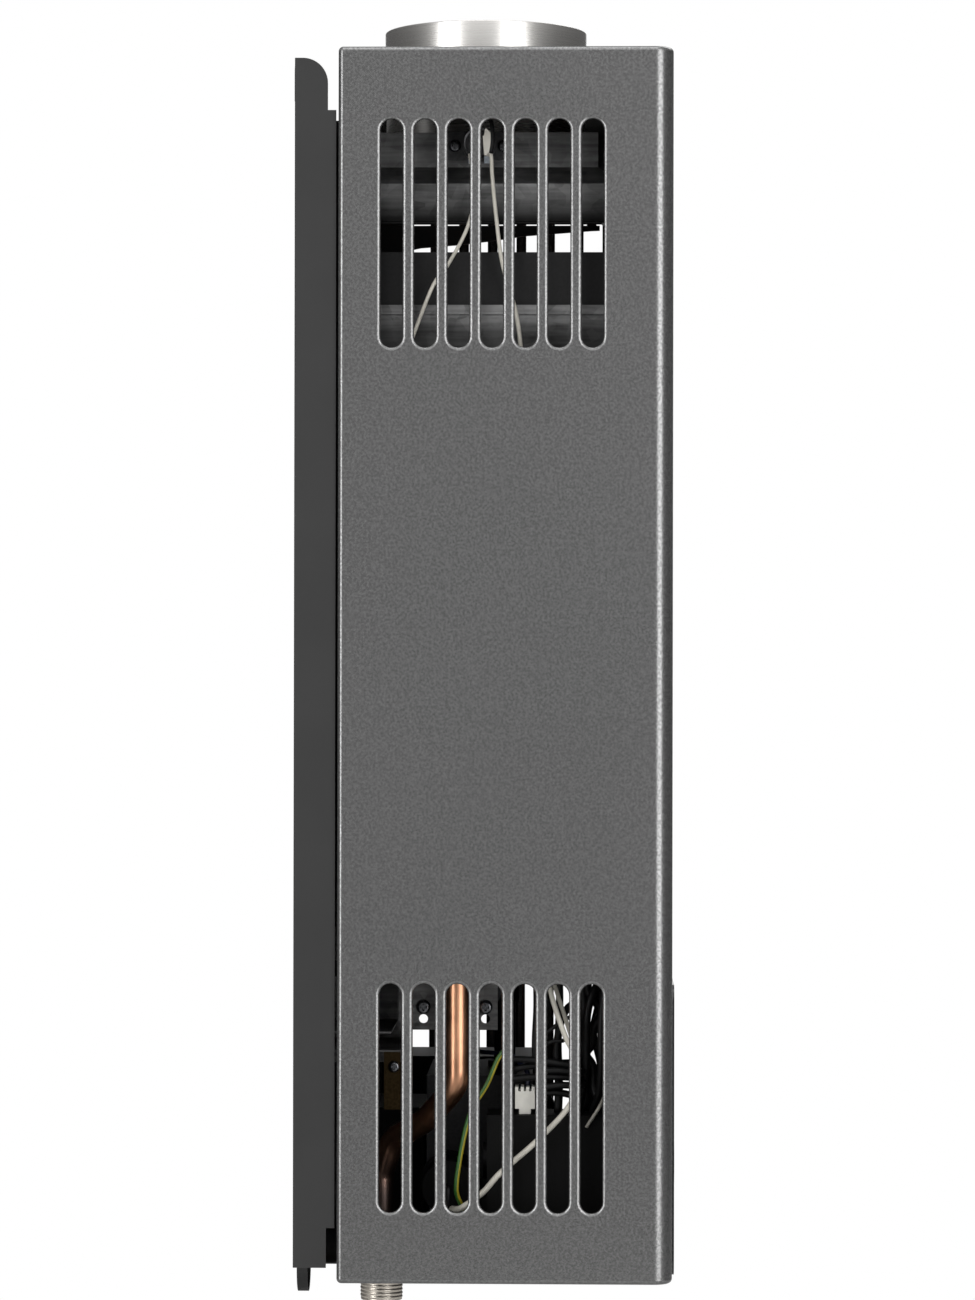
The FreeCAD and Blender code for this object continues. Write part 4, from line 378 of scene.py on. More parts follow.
class Skin:
    """Vertices shared by place and the faces between them, in the heater's own x, b and u."""

    def __init__(self):
        self.mesh = bmesh.new()
        self.known = {}

    def vertex(self, place):
        """The vertex at a place, made once."""
        x, b, u = place
        key = (round(x * 1000), round(b * 1000), round(u * 1000))
        if key not in self.known:
            spot = Vector((x * MM, COVER_LOW.y + b * MM, COVER_LOW.z + u * MM))
            self.known[key] = self.mesh.verts.new(spot)
        return self.known[key]

    def face(self, places):
        """One face, unless its places fall together or it's there already."""
        corners = []
        for place in places:
            corner = self.vertex(place)
            if corner not in corners:
                corners.append(corner)
        if len(corners) > 2 and self.mesh.faces.get(corners) is None:
            self.mesh.faces.new(corners)

    def strip(self, rows, closed=False):
        """Quads between rows of places, each row as long as the next."""
        for low, high in zip(rows, rows[1:]):
            steps = len(low) if closed else len(low) - 1
            for i in range(steps):
                j = (i + 1) % len(low)
                self.face([low[i], low[j], high[j], high[i]])

    def slab(self, back, front):
        """The sides and the front of a flat slab between its two outlines."""
        self.strip([back, front], closed=True)
        self.face(front)

    def panel(self, outline, holes=()):
        """A flat panel inside an outline, less its holes."""
        edges = []
        for ring in [outline, *holes]:
            edges += ring_edges(self.mesh, [self.vertex(place) for place in ring])
        bmesh.ops.triangle_fill(self.mesh, use_beauty=True, use_dissolve=False, edges=edges)

    def piece(self, name, finish, **settings):
        """The finished piece, riding on its body."""
        return made_piece(self.mesh, name, finish, **settings)


def turns(steps):
    """Angles of evenly spaced points round a full turn."""
    return [2 * math.pi * i / steps for i in range(steps)]


def arc(centre, radius, start, stop, steps):
    """Points on an arc in a plane, angles in degrees."""
    points = []
    for i in range(steps + 1):
        angle = math.radians(start + (stop - start) * i / steps)
        points.append((centre[0] + radius * math.cos(angle), centre[1] + radius * math.sin(angle)))
    return points


def shade_by_angle(made, crease):
    """Marks the edges sharper than the crease angle as sharp."""
    mesh = bmesh.new()
    mesh.from_mesh(made.data)
    for edge in mesh.edges:
        if len(edge.link_faces) == 2:
            edge.smooth = edge.calc_face_angle(0.0) < math.radians(crease)
    mesh.to_mesh(made.data)
    mesh.free()


def sheet_metal(made, wall, crease=35.0):
    """Gives a skin the thickness of its sheet and soft, even shading."""
    solid = made.modifiers.new("sheet", "SOLIDIFY")
    solid.thickness = wall
    solid.offset = -1.0
    solid.use_even_offset = True
    shade_by_angle(made, crease)
    normals = made.modifiers.new("even_normals", "WEIGHTED_NORMAL")
    normals.keep_sharp = True
    normals.weight = 80


SHEET = 0.8
COVER_CORNER = 9.0
REAR_BEND = 2.6
CORNER_STEPS, BEND_STEPS = 12, 5
RETURN_WIDTH = 9.0
LIP_HEIGHT = 12.0
FLOOR_FLANGE = 26.0
SCREW_BACK, SCREW_HOLE_RADIUS = 17.0, 2.2
FLUE_BACK = 94.0
FLUE_GAP_RADIUS = 54.5
COLLAR_RADIUS = 52.0
# The hood's roof below the cover's top, and the collar's mouth above it
ROOF_DROP, COLLAR_RISE = 35.0, 31.0
# The last slot's distance from the cover's rear, and each group's from its foot and its top
LAST_SLOT_INSET, LOW_SLOTS_FOOT, HIGH_SLOTS_DROP = 25.5, 34.0, 34.7
DIAL_PLACES = (-90.0, 0.0, 90.0)
DIAL_HEIGHT = 50.0
DISH_RADIUS = 29.0
WINDOW_HALF, WINDOW_LOW, WINDOW_HIGH = 32.0, 96.0, 124.0
# Tilt of each step of a slot's lip, in degrees, with its share of the lip's width
LIP_SLOPES = ((4.0, 0.06), (11.0, 0.12), (15.0, 0.16), (19.0, 0.16), (24.0, 0.16), (34.0, 0.14),
              (52.0, 0.12), (72.0, 0.08))


def cover_outline(inset, notch):
    """The cover's plan from one side of the flue's notch round the front to the other side."""
    left, rear, tightest = -HALF_WIDTH + inset, COVER_DEPTH - inset, 0.15
    bend = max(REAR_BEND - inset, tightest)
    corner = COVER_CORNER - inset
    half = [(-notch, rear)]
    half += arc((left + bend, rear - bend), bend, 90, 180, BEND_STEPS)
    half += arc((left + corner, inset + corner), corner, 180, 270, CORNER_STEPS)
    return half + [(-x, b) for x, b in reversed(half)]


def slot_ring(centre, low, high, offset, depth, side, width):
    """One closed ring round an air slot, offset outward from its opening and set inward by a depth."""
    radius, end_steps = width / 2 + offset, 14
    low_end, high_end = low + width / 2, high - width / 2
    ring = arc((centre, high_end), radius, 0, 180, end_steps)
    ring += arc((centre, low_end), radius, 180, 360, end_steps)
    x = side * (HALF_WIDTH - depth)
    return [(x, b, u) for b, u in ring]


def slot_lip(skin, centre, low, high, side, looks):
    """The rolled lip of one air slot; returns the ring where it meets the flat side."""
    lip, depth, width = looks.lip_width / MM, looks.lip_depth / MM, looks.slot_width / MM
    offset, inward = lip, 0.0
    rings = [slot_ring(centre, low, high, offset, inward, side, width)]
    for tilt, share in LIP_SLOPES:
        offset -= lip * share
        inward += lip * share * math.tan(math.radians(tilt))
        rings.append(slot_ring(centre, low, high, offset, inward, side, width))
    rings.append(slot_ring(centre, low, high, 0.0, depth, side, width))
    skin.strip(rings, closed=True)
    return rings[0]


def cover_side(skin, side, levels, looks):
    """One flat side of the cover with its two groups of air slots."""
    front, rear = COVER_CORNER, COVER_DEPTH - REAR_BEND
    x = side * HALF_WIDTH
    pitch, tall = looks.slot_pitch / MM, looks.slot_length / MM
    last = COVER_DEPTH - LAST_SLOT_INSET
    holes = []
    for index in range(looks.slot_count):
        centre = last - index * pitch
        for low in (LOW_SLOTS_FOOT, COVER_HEIGHT - HIGH_SLOTS_DROP - tall):
            holes.append(slot_lip(skin, centre, low, low + tall, side, looks))
    outline = [(x, front, u) for u in levels] + [(x, rear, u) for u in reversed(levels)]
    skin.panel(outline, holes)


def cover_front(skin, levels):
    """The cover's flat front with its three dial dishes and the display's window."""
    flat = HALF_WIDTH - COVER_CORNER
    outline = [(-flat, levels[0]), (flat, levels[0]), (flat, levels[1]), (-flat, levels[1])]
    dishes = [arc((x, DIAL_HEIGHT), DISH_RADIUS, 0, 360, 48)[:-1] for x in DIAL_PLACES]
    window = [(-WINDOW_HALF, WINDOW_LOW), (WINDOW_HALF, WINDOW_LOW), (WINDOW_HALF, WINDOW_HIGH),
              (-WINDOW_HALF, WINDOW_HIGH)]
    outline, *holes = [[(x, 0.0, u) for x, u in ring] for ring in (outline, *dishes, window)]
    skin.panel(outline, holes)


def cover_shell():
    """The cover as folded sheet: rounded edges, rolled slot lips, returns and floor flange."""
    looks = bpy.context.scene.heater_casing
    skin = Skin()
    edge = looks.edge_radius / MM
    notch, top = FLUE_GAP_RADIUS, COVER_HEIGHT
    outer, inner = HALF_WIDTH - REAR_BEND, HALF_WIDTH - RETURN_WIDTH
    rise = [(edge * (1 - math.cos(math.radians(a))), edge * math.sin(math.radians(a)))
            for a in range(0, 91, 15)]
    crown = [[(x, b, top - edge + up) for x, b in cover_outline(inset, notch)] for inset, up in rise]
    skin.strip(crown)
    sole = [[(x, b, edge - down) for x, b in cover_outline(inset, inner)] for inset, down in rise]
    skin.strip(sole)
    levels = [edge, top - edge]
    wrap = cover_outline(0.0, inner)
    first_corner = BEND_STEPS + 2
    for part in (wrap[1:first_corner], wrap[first_corner:first_corner + CORNER_STEPS + 1]):
        for mirror in (1, -1):
            skin.strip([[(mirror * x, b, u) for x, b in part] for u in levels])
    for side in (-1, 1):
        cover_side(skin, side, levels, looks)
        shape = [(notch, levels[1]), (outer, levels[1]), (outer, levels[0]), (inner, levels[0]),
                 (inner, top - LIP_HEIGHT), (notch, top - LIP_HEIGHT)]
        skin.panel([(side * x, COVER_DEPTH, u) for x, u in shape])
    cover_front(skin, levels)
    mouth = [(x, b, top) for x, b in arc((0.0, FLUE_BACK), notch, 0, -180, 32)]
    skin.panel(crown[-1] + mouth)
    inner = HALF_WIDTH - FLOOR_FLANGE
    floor = [(inner, COVER_DEPTH - edge, 0.0), (inner, FLOOR_FLANGE, 0.0),
             (-inner, FLOOR_FLANGE, 0.0), (-inner, COVER_DEPTH - edge, 0.0)]
    holes = []
    for x in (-COVER_WIDTH / 4, COVER_WIDTH / 4):
        holes.append([(x, b, 0.0) for x, b in arc((x, SCREW_BACK), SCREW_HOLE_RADIUS, 0, 360, 16)[:-1]])
    skin.panel(sole[-1][1:-1] + floor, holes)
    made = skin.piece("cover_shell", "graphite_powder_coat")
    sheet_metal(made, SHEET * MM)
    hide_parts("front_cover")


def spun_collar():
    """The collar turned from sheet: flange, neck, plain wall and a rounded mouth, with fine facets."""
    roof, top, radius = COVER_HEIGHT - ROOF_DROP, COVER_HEIGHT + COLLAR_RISE, COLLAR_RADIUS
    wall, neck, fillet, chamfer, steps = 0.8, 0.6, 0.6, 0.15, 180
    flange = radius + 5.0
    step = COVER_HEIGHT + neck
    mouth = arc((radius - wall / 2, top - wall / 2), wall / 2, 0, 180, 8)
    profile = [(flange, roof), (flange, roof + wall), (radius - neck + fillet, roof + wall),
               (radius - neck + chamfer, roof + wall + chamfer), (radius - neck, roof + wall + fillet),
               (radius - neck, step), (radius, step + neck), *mouth,
               (radius - wall, step + wall), (radius - wall - neck, step + wall - neck),
               (radius - wall - neck, roof), (flange, roof)]
    skin = Skin()
    skin.strip([[(r * math.cos(a), FLUE_BACK + r * math.sin(a), u) for a in turns(steps)]
                for r, u in profile], closed=True)
    made = skin.piece("spun_collar", "spun_stainless", crease=40.0)
    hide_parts("flue_collar")


def skirt_hems():
    """The turned-up hem along both long edges of the hood's skirt."""
    skin = Skin()
    low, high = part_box("exhaust_hood")
    end_gap, hem_radius = 10.0, 0.9
    front, rear = (low.y - COVER_LOW.y) / MM + end_gap, (high.y - COVER_LOW.y) / MM - end_gap
    foot, half = (low.z - COVER_LOW.z) / MM, high.x / MM
    for side in (-1, 1):
        outline = arc((side * half, foot), hem_radius, 0, 360, 12)[:-1]
        skin.strip([[(x, b, u) for x, u in outline] for b in (front, rear)], closed=True)
        for b in (front, rear):
            skin.face([(x, b, u) for x, u in outline])
    # The hems share the hood's painted shade towards the skirt's foot
    made = skin.piece("skirt_hems", "shaded_hood_sheet", crease=40.0)


def loose_solids(name):
    """The points of each separate solid in a carried node, in the node's own order."""
    mesh = bmesh.new()
    mesh.from_mesh(NODES[name].data)
    bmesh.ops.remove_doubles(mesh, verts=mesh.verts[:], dist=1e-6)
    mesh.verts.index_update()
    waiting = set(mesh.verts)
    groups = []
    while waiting:
        found = {min(waiting, key=lambda vertex: vertex.index)}
        front = set(found)
        while front:
            near = {e.other_vert(v) for v in front for e in v.link_edges}
            front = near & waiting
            waiting -= front
            found |= front
        groups.append([v.co.copy() for v in found])
    mesh.free()
    return groups


def corners_of(points):
    """Lowest and highest corners of the box round a set of points."""
    return [Vector([end(p[i] for p in points) for i in range(3)]) for end in (min, max)]


# Outline of a pan head and of its cross recess, as shares of its radius and height
HEAD_SLOPE = ((1.0, 0.0), (1.0, 0.45), (0.93, 0.72), (0.78, 0.9), (0.6, 1.0))
WING, ARM = 0.15, 0.5
RECESS_TAPER, RECESS_FLOOR = 0.7, 0.45


def screw_head(mesh, place, radius, height):
    """A pan head with a cross recess, standing on its seat along the matrix's Z."""
    steps = 24
    rings = []
    for wide, tall in HEAD_SLOPE:
        r, z = radius * wide, height * tall
        rings.append([mesh.verts.new(place @ Vector((r * math.cos(a), r * math.sin(a), z)))
                      for a in turns(steps)])
    for low, high in zip(rings, rings[1:]):
        for i in range(steps):
            j = (i + 1) % steps
            mesh.faces.new((low[i], low[j], high[j], high[i]))
    wing, arm = radius * WING, radius * ARM
    plan = [(arm, wing), (wing, wing), (wing, arm), (-wing, arm), (-wing, wing), (-arm, wing),
            (-arm, -wing), (-wing, -wing), (-wing, -arm), (wing, -arm), (wing, -wing), (arm, -wing)]
    rim = [mesh.verts.new(place @ Vector((x, y, height))) for x, y in plan]
    deep = [mesh.verts.new(place @ Vector((x * RECESS_TAPER, y * RECESS_TAPER, height * RECESS_FLOOR)))
            for x, y in plan]
    for i in range(len(plan)):
        j = (i + 1) % len(plan)
        mesh.faces.new((rim[j], rim[i], deep[i], deep[j]))
    mesh.faces.new(deep[::-1])
    edges = ring_edges(mesh, rings[-1]) + ring_edges(mesh, rim)
    bmesh.ops.triangle_fill(mesh, use_beauty=True, use_dissolve=False, edges=edges)


def pan_head_screws():
    """The assembly screws with rounded heads and cross recesses, where the carried ones stand."""
    mesh = bmesh.new()
    height, same_level = 2.4 * MM, 0.1 * MM
    for points in loose_solids("inner_screws"):
        low, high = corners_of(points)
        size = high - low
        axis = min(range(3), key=lambda i: abs(size[(i + 1) % 3] - size[(i + 2) % 3]))
        middle = (low + high) / 2

        def reach(level):
            """How wide the screw is at one of its two ends: the head's end is the wider."""
            near = [p for p in points if abs(p[axis] - level) < same_level]
            return max(math.hypot(*[p[i] - middle[i] for i in range(3) if i != axis]) for p in near)

        out = Vector((0, 0, 0))
        out[axis] = 1.0 if reach(high[axis]) > reach(low[axis]) else -1.0
        radius = max(size[(axis + 1) % 3], size[(axis + 2) % 3]) / 2
        seat = middle.copy()
        seat[axis] = (high[axis] - height) if out[axis] > 0 else (low[axis] + height)
        turned = out.to_track_quat("Z", "Y").to_matrix().to_4x4()
        screw_head(mesh, Matrix.Translation(seat) @ turned, radius, height)
    made = made_piece(mesh, "pan_head_screws", "black_zinc_plate", crease=40.0)
    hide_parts("inner_screws")


NIPPLE_PLACES = ((-100.0, 142.0), (10.0, 142.0), (100.0, 142.0))


def pipe_threads():
    """The three nipples with a cut pipe thread, a chamfered end and an open bore."""
    pitch = bpy.context.scene.heater_metal.thread_pitch / MM
    skin = Skin()
    outer, root, bore, bore_depth = 10.48, 10.1, 7.5, 8.0
    foot, shoulder, top, neck = -18.0, -2.0, 18.0, 9.9
    steps, per_pitch, flat_crest, run_in = 40, 6, 1.25, 0.9
    spots = []
    for row in range(1, int((shoulder - foot) / pitch * per_pitch)):
        u = foot + row * pitch / per_pitch
        fade = min(1.0, (u - foot) / (pitch * run_in))
        phases = [(row / per_pitch + i / steps) % 1.0 for i in range(steps)]
        ridges = [min(1.0, flat_crest * (1.0 - abs(2 * phase - 1.0))) for phase in phases]
        spots.append((u, [root + (outer - root) * ridge * fade for ridge in ridges]))
    # Height of each ring and its radius at every step round it, from the bore's bottom up
    spots = [(foot + bore_depth, [bore] * steps), (foot, [bore] * steps), (foot, [root] * steps), *spots,
             (shoulder, [neck] * steps), (top, [neck] * steps)]
    for x, b in NIPPLE_PLACES:
        rows = [[(x + r * math.cos(a), b + r * math.sin(a), u) for r, a in zip(radii, turns(steps))]
                for u, radii in spots]
        skin.strip(rows, closed=True)
        skin.panel(rows[-1])
        skin.panel(rows[0])
    made = skin.piece("pipe_threads", "nickel_plated_brass", crease=50.0)
    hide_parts("threaded_nipples")


def smooth_route(points, steps=6):
    """A curve through given points of x, b and u."""
    ends = [points[0] * 2 - points[1], *points, points[-1] * 2 - points[-2]]
    route = []
    for first, start, stop, last in zip(ends, ends[1:], ends[2:], ends[3:]):
        for step in range(steps):
            t = step / steps
            route.append(0.5 * (2 * start + (stop - first) * t
                                + (2 * first - 5 * start + 4 * stop - last) * t ** 2
                                + (3 * start - first - 3 * stop + last) * t ** 3))
    return [*route, points[-1]]


def run_lead(skin, radius, *points, last_radius=None):
    """One insulated lead along its route, with closed ends; it may grow thicker towards its end."""
    sides = 12
    route = smooth_route([Vector(point) for point in points])
    ahead = (route[1] - route[0]).normalized()
    side = ahead.orthogonal().normalized()
    rows = []
    for index, place in enumerate(route):
        before, after = route[max(index - 1, 0)], route[min(index + 1, len(route) - 1)]
        turned = (after - before).normalized()
        side = ahead.rotation_difference(turned) @ side
        ahead = turned
        across = ahead.cross(side)
        share = index / (len(route) - 1)
        thick = radius + ((last_radius or radius) - radius) * share
        rows.append([tuple(place + side * (thick * math.cos(a)) + across * (thick * math.sin(a)))
                     for a in turns(sides)])
    skin.strip(rows, closed=True)
    skin.face(rows[0][::-1])
    skin.face(rows[-1])


# Each lead's radius comes before the points of its route
NEAR = -HALF_WIDTH + 21.0
HOOD_FACE = -150.0
MODULE_TOP = 77.5
MODULE_X = -130.0


def white_leads():
    """The two thermostats' leads, clipped along the side of the chamber."""
    top = COVER_HEIGHT
    skin = Skin()
    run_lead(skin, 0.85, (HOOD_FACE, 89, top - 49), (HOOD_FACE - 6, 87.5, top - 50), (NEAR, 87, top - 60),
             (NEAR, 85, top - 80), (NEAR, 82, top - 102), (NEAR, 75, top - 128), (NEAR, 71, top - 160),
             (NEAR, 62, 378), (NEAR, 60, 307), (NEAR, 62, 240), (NEAR, 63, 170), (NEAR, 58.6, 139.5),
             (NEAR, 51.8, 118), (NEAR, 46.8, 107), (NEAR, 45.6, 92), (NEAR + 1, 51, 80.5), (NEAR, 66, 65),
             (NEAR, 82, 51), (NEAR, 91, 41), (NEAR + 2, 102, 33), (MODULE_X - 6, 106, 31),
             (MODULE_X, 100, 30), (MODULE_X, 92, 30), last_radius=1.6)
    run_lead(skin, 0.9, (HOOD_FACE, 98, top - 49), (HOOD_FACE - 6, 97, top - 54), (NEAR, 95.2, top - 66),
             (NEAR, 98.6, top - 83.6), (NEAR, 107.6, top - 101.3), (NEAR, 115.2, top - 112),
             (NEAR, 123.4, top - 132.5), (NEAR - 6, 129, top - 150), (NEAR - 6, 130, 424), (-142, 130, 420))
    made = skin.piece("white_leads", "white_silicone")
    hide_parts("thermostat_leads")


def striped_earth_lead():
    """The earth lead, green on one side and yellow on the other all along."""
    skin = Skin()
    run_lead(skin, 1.2, (-147, 79, 121), (-152, 79, 118), (NEAR + 1, 79.9, 111), (NEAR + 2, 83.9, 104.6),
             (NEAR + 3, 88.8, 93), (NEAR + 3, 95, 83), (NEAR + 3, 98.4, 74), (NEAR + 3, 101.8, 57.7),
             (NEAR + 4, 103.6, 42), (NEAR + 8, 101, 33), (NEAR + 8, 98, 20), (NEAR + 8, 97, 9))
    made = skin.piece("striped_earth_lead", "green_pvc")
    made.data.materials.append(finishes()["yellow_pvc"])
    seam = -0.1
    for polygon in made.data.polygons:
        polygon.material_index = 1 if polygon.normal.y < seam else 0
    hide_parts("earth_lead")


# Leads across the loom: height at the start and the stop, x, and depth at the start and the stop
CROSSING_LEADS = ((104.0, 101.0, -140, 75, 46), (99.5, 102.5, -137, 74, 46), (98.6, 97.6, -141, 62, 44),
                  (94.5, 95.2, -138, 76, 45), (90.4, 91.6, -141, 63, 44), (87.5, 86.2, -136, 62, 46),
                  (117.0, 125.6, -139, 60, 47), (111.6, 113.0, -139, 60, 52.6))
# Those above this height are thin, and each rises a little at its middle
THIN_ABOVE, THIN, THICK, RISE = 110, 1.0, 1.7, 0.8


def black_loom():
    """The ignition leads and the loom of black leads that rises from the module's top."""
    skin = Skin()
    for index, x in enumerate((-16.0, 16.0)):
        apart = 5.0 * index
        run_lead(skin, 1.9, (x, 20, 218), (x, 12, 218), (x - 6, 10, 204),
                 (-78 + apart, 12 + apart, 172 - apart), (-135 + apart, 22 + apart, 152 - apart),
                 (-146 + apart, 31 + apart, 140), (-146 + apart, 33.6 + 1.4 * apart, 126),
                 (-144 + apart, 34.0 + 1.4 * apart, 104), (-138 + apart, 35 + 1.6 * apart, 88),
                 (-130, 38 + 1.4 * apart, MODULE_TOP))
    # From the display board, and from the solenoid
    run_lead(skin, 1.9, (-30, 9, 104), (-30, 17, 104), (-75, 24, 116), (-115, 34, 132), (-126, 50, 128),
             (-130, 55.5, 110), (-131, 54.6, 92), (-130, 55, MODULE_TOP))
    run_lead(skin, 1.1, (-126, 108, 40), (-133, 108, 40), (-133, 108, 26), (-130, 104, 24), (-130, 92, 24))
    # Leads that rise from the module's top
    run_lead(skin, 2.2, (-134, 38, 152), (-134, 40.6, 139), (-135, 37.8, 133.2), (-136, 33.8, 126.5),
             (-135, 37.6, 119), (-134, 38.2, 111.5), (-133, 41.3, 106), (-132, 38, 100), (-132, 37.4, 90),
             (-133, 33.9, 82), (-130, 33, MODULE_TOP))
    run_lead(skin, 2.3, (-128, 44, 152), (-128, 42, 130), (-127, 41.4, 116), (-128, 42, 98),
             (-128, 41.4, 84), (-128, 44, MODULE_TOP))
    run_lead(skin, 2.0, (-124, 36, 152), (-122, 34, 136), (-123, 38.5, 114), (-124, 37, 112),
             (-122, 34, 98), (-122, 38.5, 88), (-122, 40, MODULE_TOP))
    for x, b in ((-126, 54.6), (-128, 65.6)):
        run_lead(skin, 1.9, (x, b, 152), (x, b - 0.5, 130), (x + 2, b + 0.3, 110), (x + 1, b - 0.4, 92),
                 (x, b, MODULE_TOP))
    for low, high, x, start, stop in CROSSING_LEADS:
        middle = (x - 1, (start + stop) / 2, (low + high) / 2 + RISE)
        run_lead(skin, THIN if low > THIN_ABOVE else THICK, (x + 6, start + 2, low - 2), (x, start, low),
                 middle, (x, stop, high), (x + 6, stop - 2, high + 1))
    # A short tail between the thermostat's spade terminals
    run_lead(skin, 0.95, (-151, 91, 559), (-157, 87.4, 556), (-158.4, 86.8, 547), (-157, 87.6, 541))
    made = skin.piece("black_loom", "black_silicone")
    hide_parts("ignition_leads")


def grey_leads():
    """Grey leads from the front panel down to the module."""
    skin = Skin()
    run_lead(skin, 1.05, (-140, 63, 160), (-146, 59.4, 148), (-148, 55.9, 139), (-148, 49.4, 119),
             (-147, 46.4, 108), (-140, 46, 92), (-133, 47, MODULE_TOP))
    run_lead(skin, 0.85, (-130, 30, 98), (-140, 31, 90), (-147, 34, 83.2), (-147.5, 37.4, 77.6),
             (-146, 41, 72))
    made = skin.piece("grey_leads", "grey_silicone")


# The cup's radius and depth behind its rim, and the bar's outline, from the thermostat's middle
CUP_PROFILE = ((0.01, 2.5), (6.0, 2.5), (6.4, 0.0), (7.2, -0.3), (7.6, 0.0))
BAR_OUTLINE = ((-6.4, -6.0), (-5.2, -6.8), (-2.8, -6.4), (-2.2, 0.6), (-2.0, 3.0), (-2.6, 3.2),
               (-3.0, 6.0), (-3.6, 6.8), (-5.8, 4.6))
BAR_FLOOR, BAR_FACE = 2.5, -1.6
BLADE_PLACES, BLADE_WIDTH, BLADE_LOW, BLADE_HIGH, BLADE_FACE = (-5.4, 2.2), 2.6, -10.4, -7.0, -2.6


def thermostat_faces():
    """The thermostats' moulded cups with their ceramic bars and spade terminals."""
    cups, bars, spades = Skin(), Skin(), Skin()
    for points in loose_solids("thermostat_bodies"):
        low, high = corners_of(points)
        x, seat = low.x / MM, high.x / MM
        b = (low.y + high.y) / 2 / MM - COVER_LOW.y / MM
        u = (low.z + high.z) / 2 / MM - COVER_LOW.z / MM
        profile = [(r, x + depth) for r, depth in CUP_PROFILE] + [(7.6, seat), (0.01, seat)]
        cups.strip([[(depth, b + r * math.cos(a), u + r * math.sin(a)) for a in turns(36)]
                    for r, depth in profile], closed=True)
        bar = [(b + back, u + up) for back, up in BAR_OUTLINE]
        bars.slab(*[[(depth, y, z) for y, z in bar] for depth in (x + BAR_FLOOR, x + BAR_FACE)])
        for offset in BLADE_PLACES:
            left, right = b + offset, b + offset + BLADE_WIDTH
            foot, tip = u + BLADE_LOW, u + BLADE_HIGH
            blade = [(left, foot), (right, foot), (right, tip), (left, tip)]
            spades.slab(*[[(depth, y, z) for y, z in blade] for depth in (x + BAR_FACE, x + BLADE_FACE)])
    made = cups.piece("thermostat_cups", "heat_darkened_steel", smooth=False, crease=40.0)
    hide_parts("thermostat_bodies")
    bars.piece("thermostat_bars", "glazed_steatite", smooth=False)
    spades.piece("spade_terminals", "zinc_plated_steel", smooth=False)


def knob_pointers():
    """A moulded white pointer line on the face of each knob, turning with it."""
    proud, thick, half, start, rim = 0.02, 0.3, 0.7, 5.0, 1.6
    for name in ("season", "gas", "water"):
        low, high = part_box(name + "_knob")
        skin = Skin()
        x = (low.x + high.x) / 2 / MM
        face = (low.y - COVER_LOW.y) / MM - proud
        stop = (high.z - low.z) / 2 / MM - rim
        corners = [(x - half, DIAL_HEIGHT + start), (x + half, DIAL_HEIGHT + start),
                   (x + half, DIAL_HEIGHT + stop), (x - half, DIAL_HEIGHT + stop)]
        skin.slab(*[[(px, depth, pz) for px, pz in corners] for depth in (face + thick, face)])
        made = skin.piece(name + "_pointer", "screen_ink", body=BODY_OF[name + "_knob"], smooth=False)


def dial_marks():
    """Printed marks round each dial: short strokes on a three-quarter ring, every fifth one long."""
    skin = Skin()
    face, ink, half, inner = -1.2, 0.06, 0.3, 29.5
    count, first, turn = 11, 225, 27
    for centre in DIAL_PLACES:
        for index in range(count):
            angle = math.radians(first - turn * index)
            stroke = 3.2 if index % 5 == 0 else 1.8
            along = Vector((math.cos(angle), math.sin(angle)))
            across = Vector((-along.y, along.x)) * half
            near, far = along * inner, along * (inner + stroke)
            corners = [near - across, far - across, far + across, near + across]
            front = [(centre + c.x, face - ink, DIAL_HEIGHT + c.y) for c in corners]
            back = [(centre + c.x, face, DIAL_HEIGHT + c.y) for c in corners]
            skin.face(front)
            skin.strip([front, back], closed=True)
    made = skin.piece("dial_marks", "screen_ink", smooth=False)


class HeaterOperator:
    """What every operator of the heater has in common."""

    bl_options = {"REGISTER", "UNDO"}


class HEATER_OT_casing(HeaterOperator, bpy.types.Operator):
    """Folded cover, back plate, bottom plate and front panel"""

    bl_idname = "heater.casing"
    bl_label = "Casing"

    def execute(self, context):
        cover_shell()
        dress("matt_plate_paint", "back_plate", "bottom_plate")
        dress("zinc_plated_steel", "cover_screws")
        dress("gloss_black_abs", "control_panel")
        dress("smoked_acrylic", "display_window")
        dress("moulded_black_abs", "display_board")
        dial_marks()
        return {"FINISHED"}


class HEATER_OT_flue(HeaterOperator, bpy.types.Operator):
    """Flue collar, exhaust hood, baffle and straps"""

    bl_idname = "heater.flue"
    bl_label = "Flue"

    def execute(self, context):
        spun_collar()
        # The hood's sheet darkens towards its skirt's foot with painted shade
        dress("shaded_hood_sheet", "exhaust_hood")
        skirt_hems()
        dress("heatproof_stove_paint", "hood_baffle")
        dress("galvanised_sheet", "hood_straps")
        return {"FINISHED"}


class HEATER_OT_exchanger(HeaterOperator, bpy.types.Operator):
    """Heat exchanger, combustion chamber and shields"""

    bl_idname = "heater.exchanger"
    bl_label = "Exchanger"

    def execute(self, context):
        dress("heatproof_stove_paint", "exchanger_jacket")
        dress("drawn_copper", "exchanger_fins", "exchanger_tube")
        # The chamber's sheet darkens just below its top edge with painted shade
        dress("shaded_chamber_sheet", "combustion_chamber", "chamber_shields")
        return {"FINISHED"}


class HEATER_OT_burner(HeaterOperator, bpy.types.Operator):
    """Burner, manifold, nozzles, brackets and electrodes"""

    bl_idname = "heater.burner"
    bl_label = "Burner"

    def execute(self, context):
        dress("galvanised_sheet", "burner_frame", "burner_brackets", "rear_bracket")
        # Dark brown brass here is painted shade inside the casing
        dress("cast_brass_in_painted_shade", "brass_tab")
        dress("spun_stainless", "burner_bars")
        # Near black aluminium here is painted shade inside the casing
        dress("die_cast_aluminium_in_painted_shade", "gas_manifold")
        dress("turned_brass", "gas_nozzles")
        dress("zinc_plated_steel", "electrode_bracket")
        dress("glazed_steatite", "electrode_ceramics")
        return {"FINISHED"}


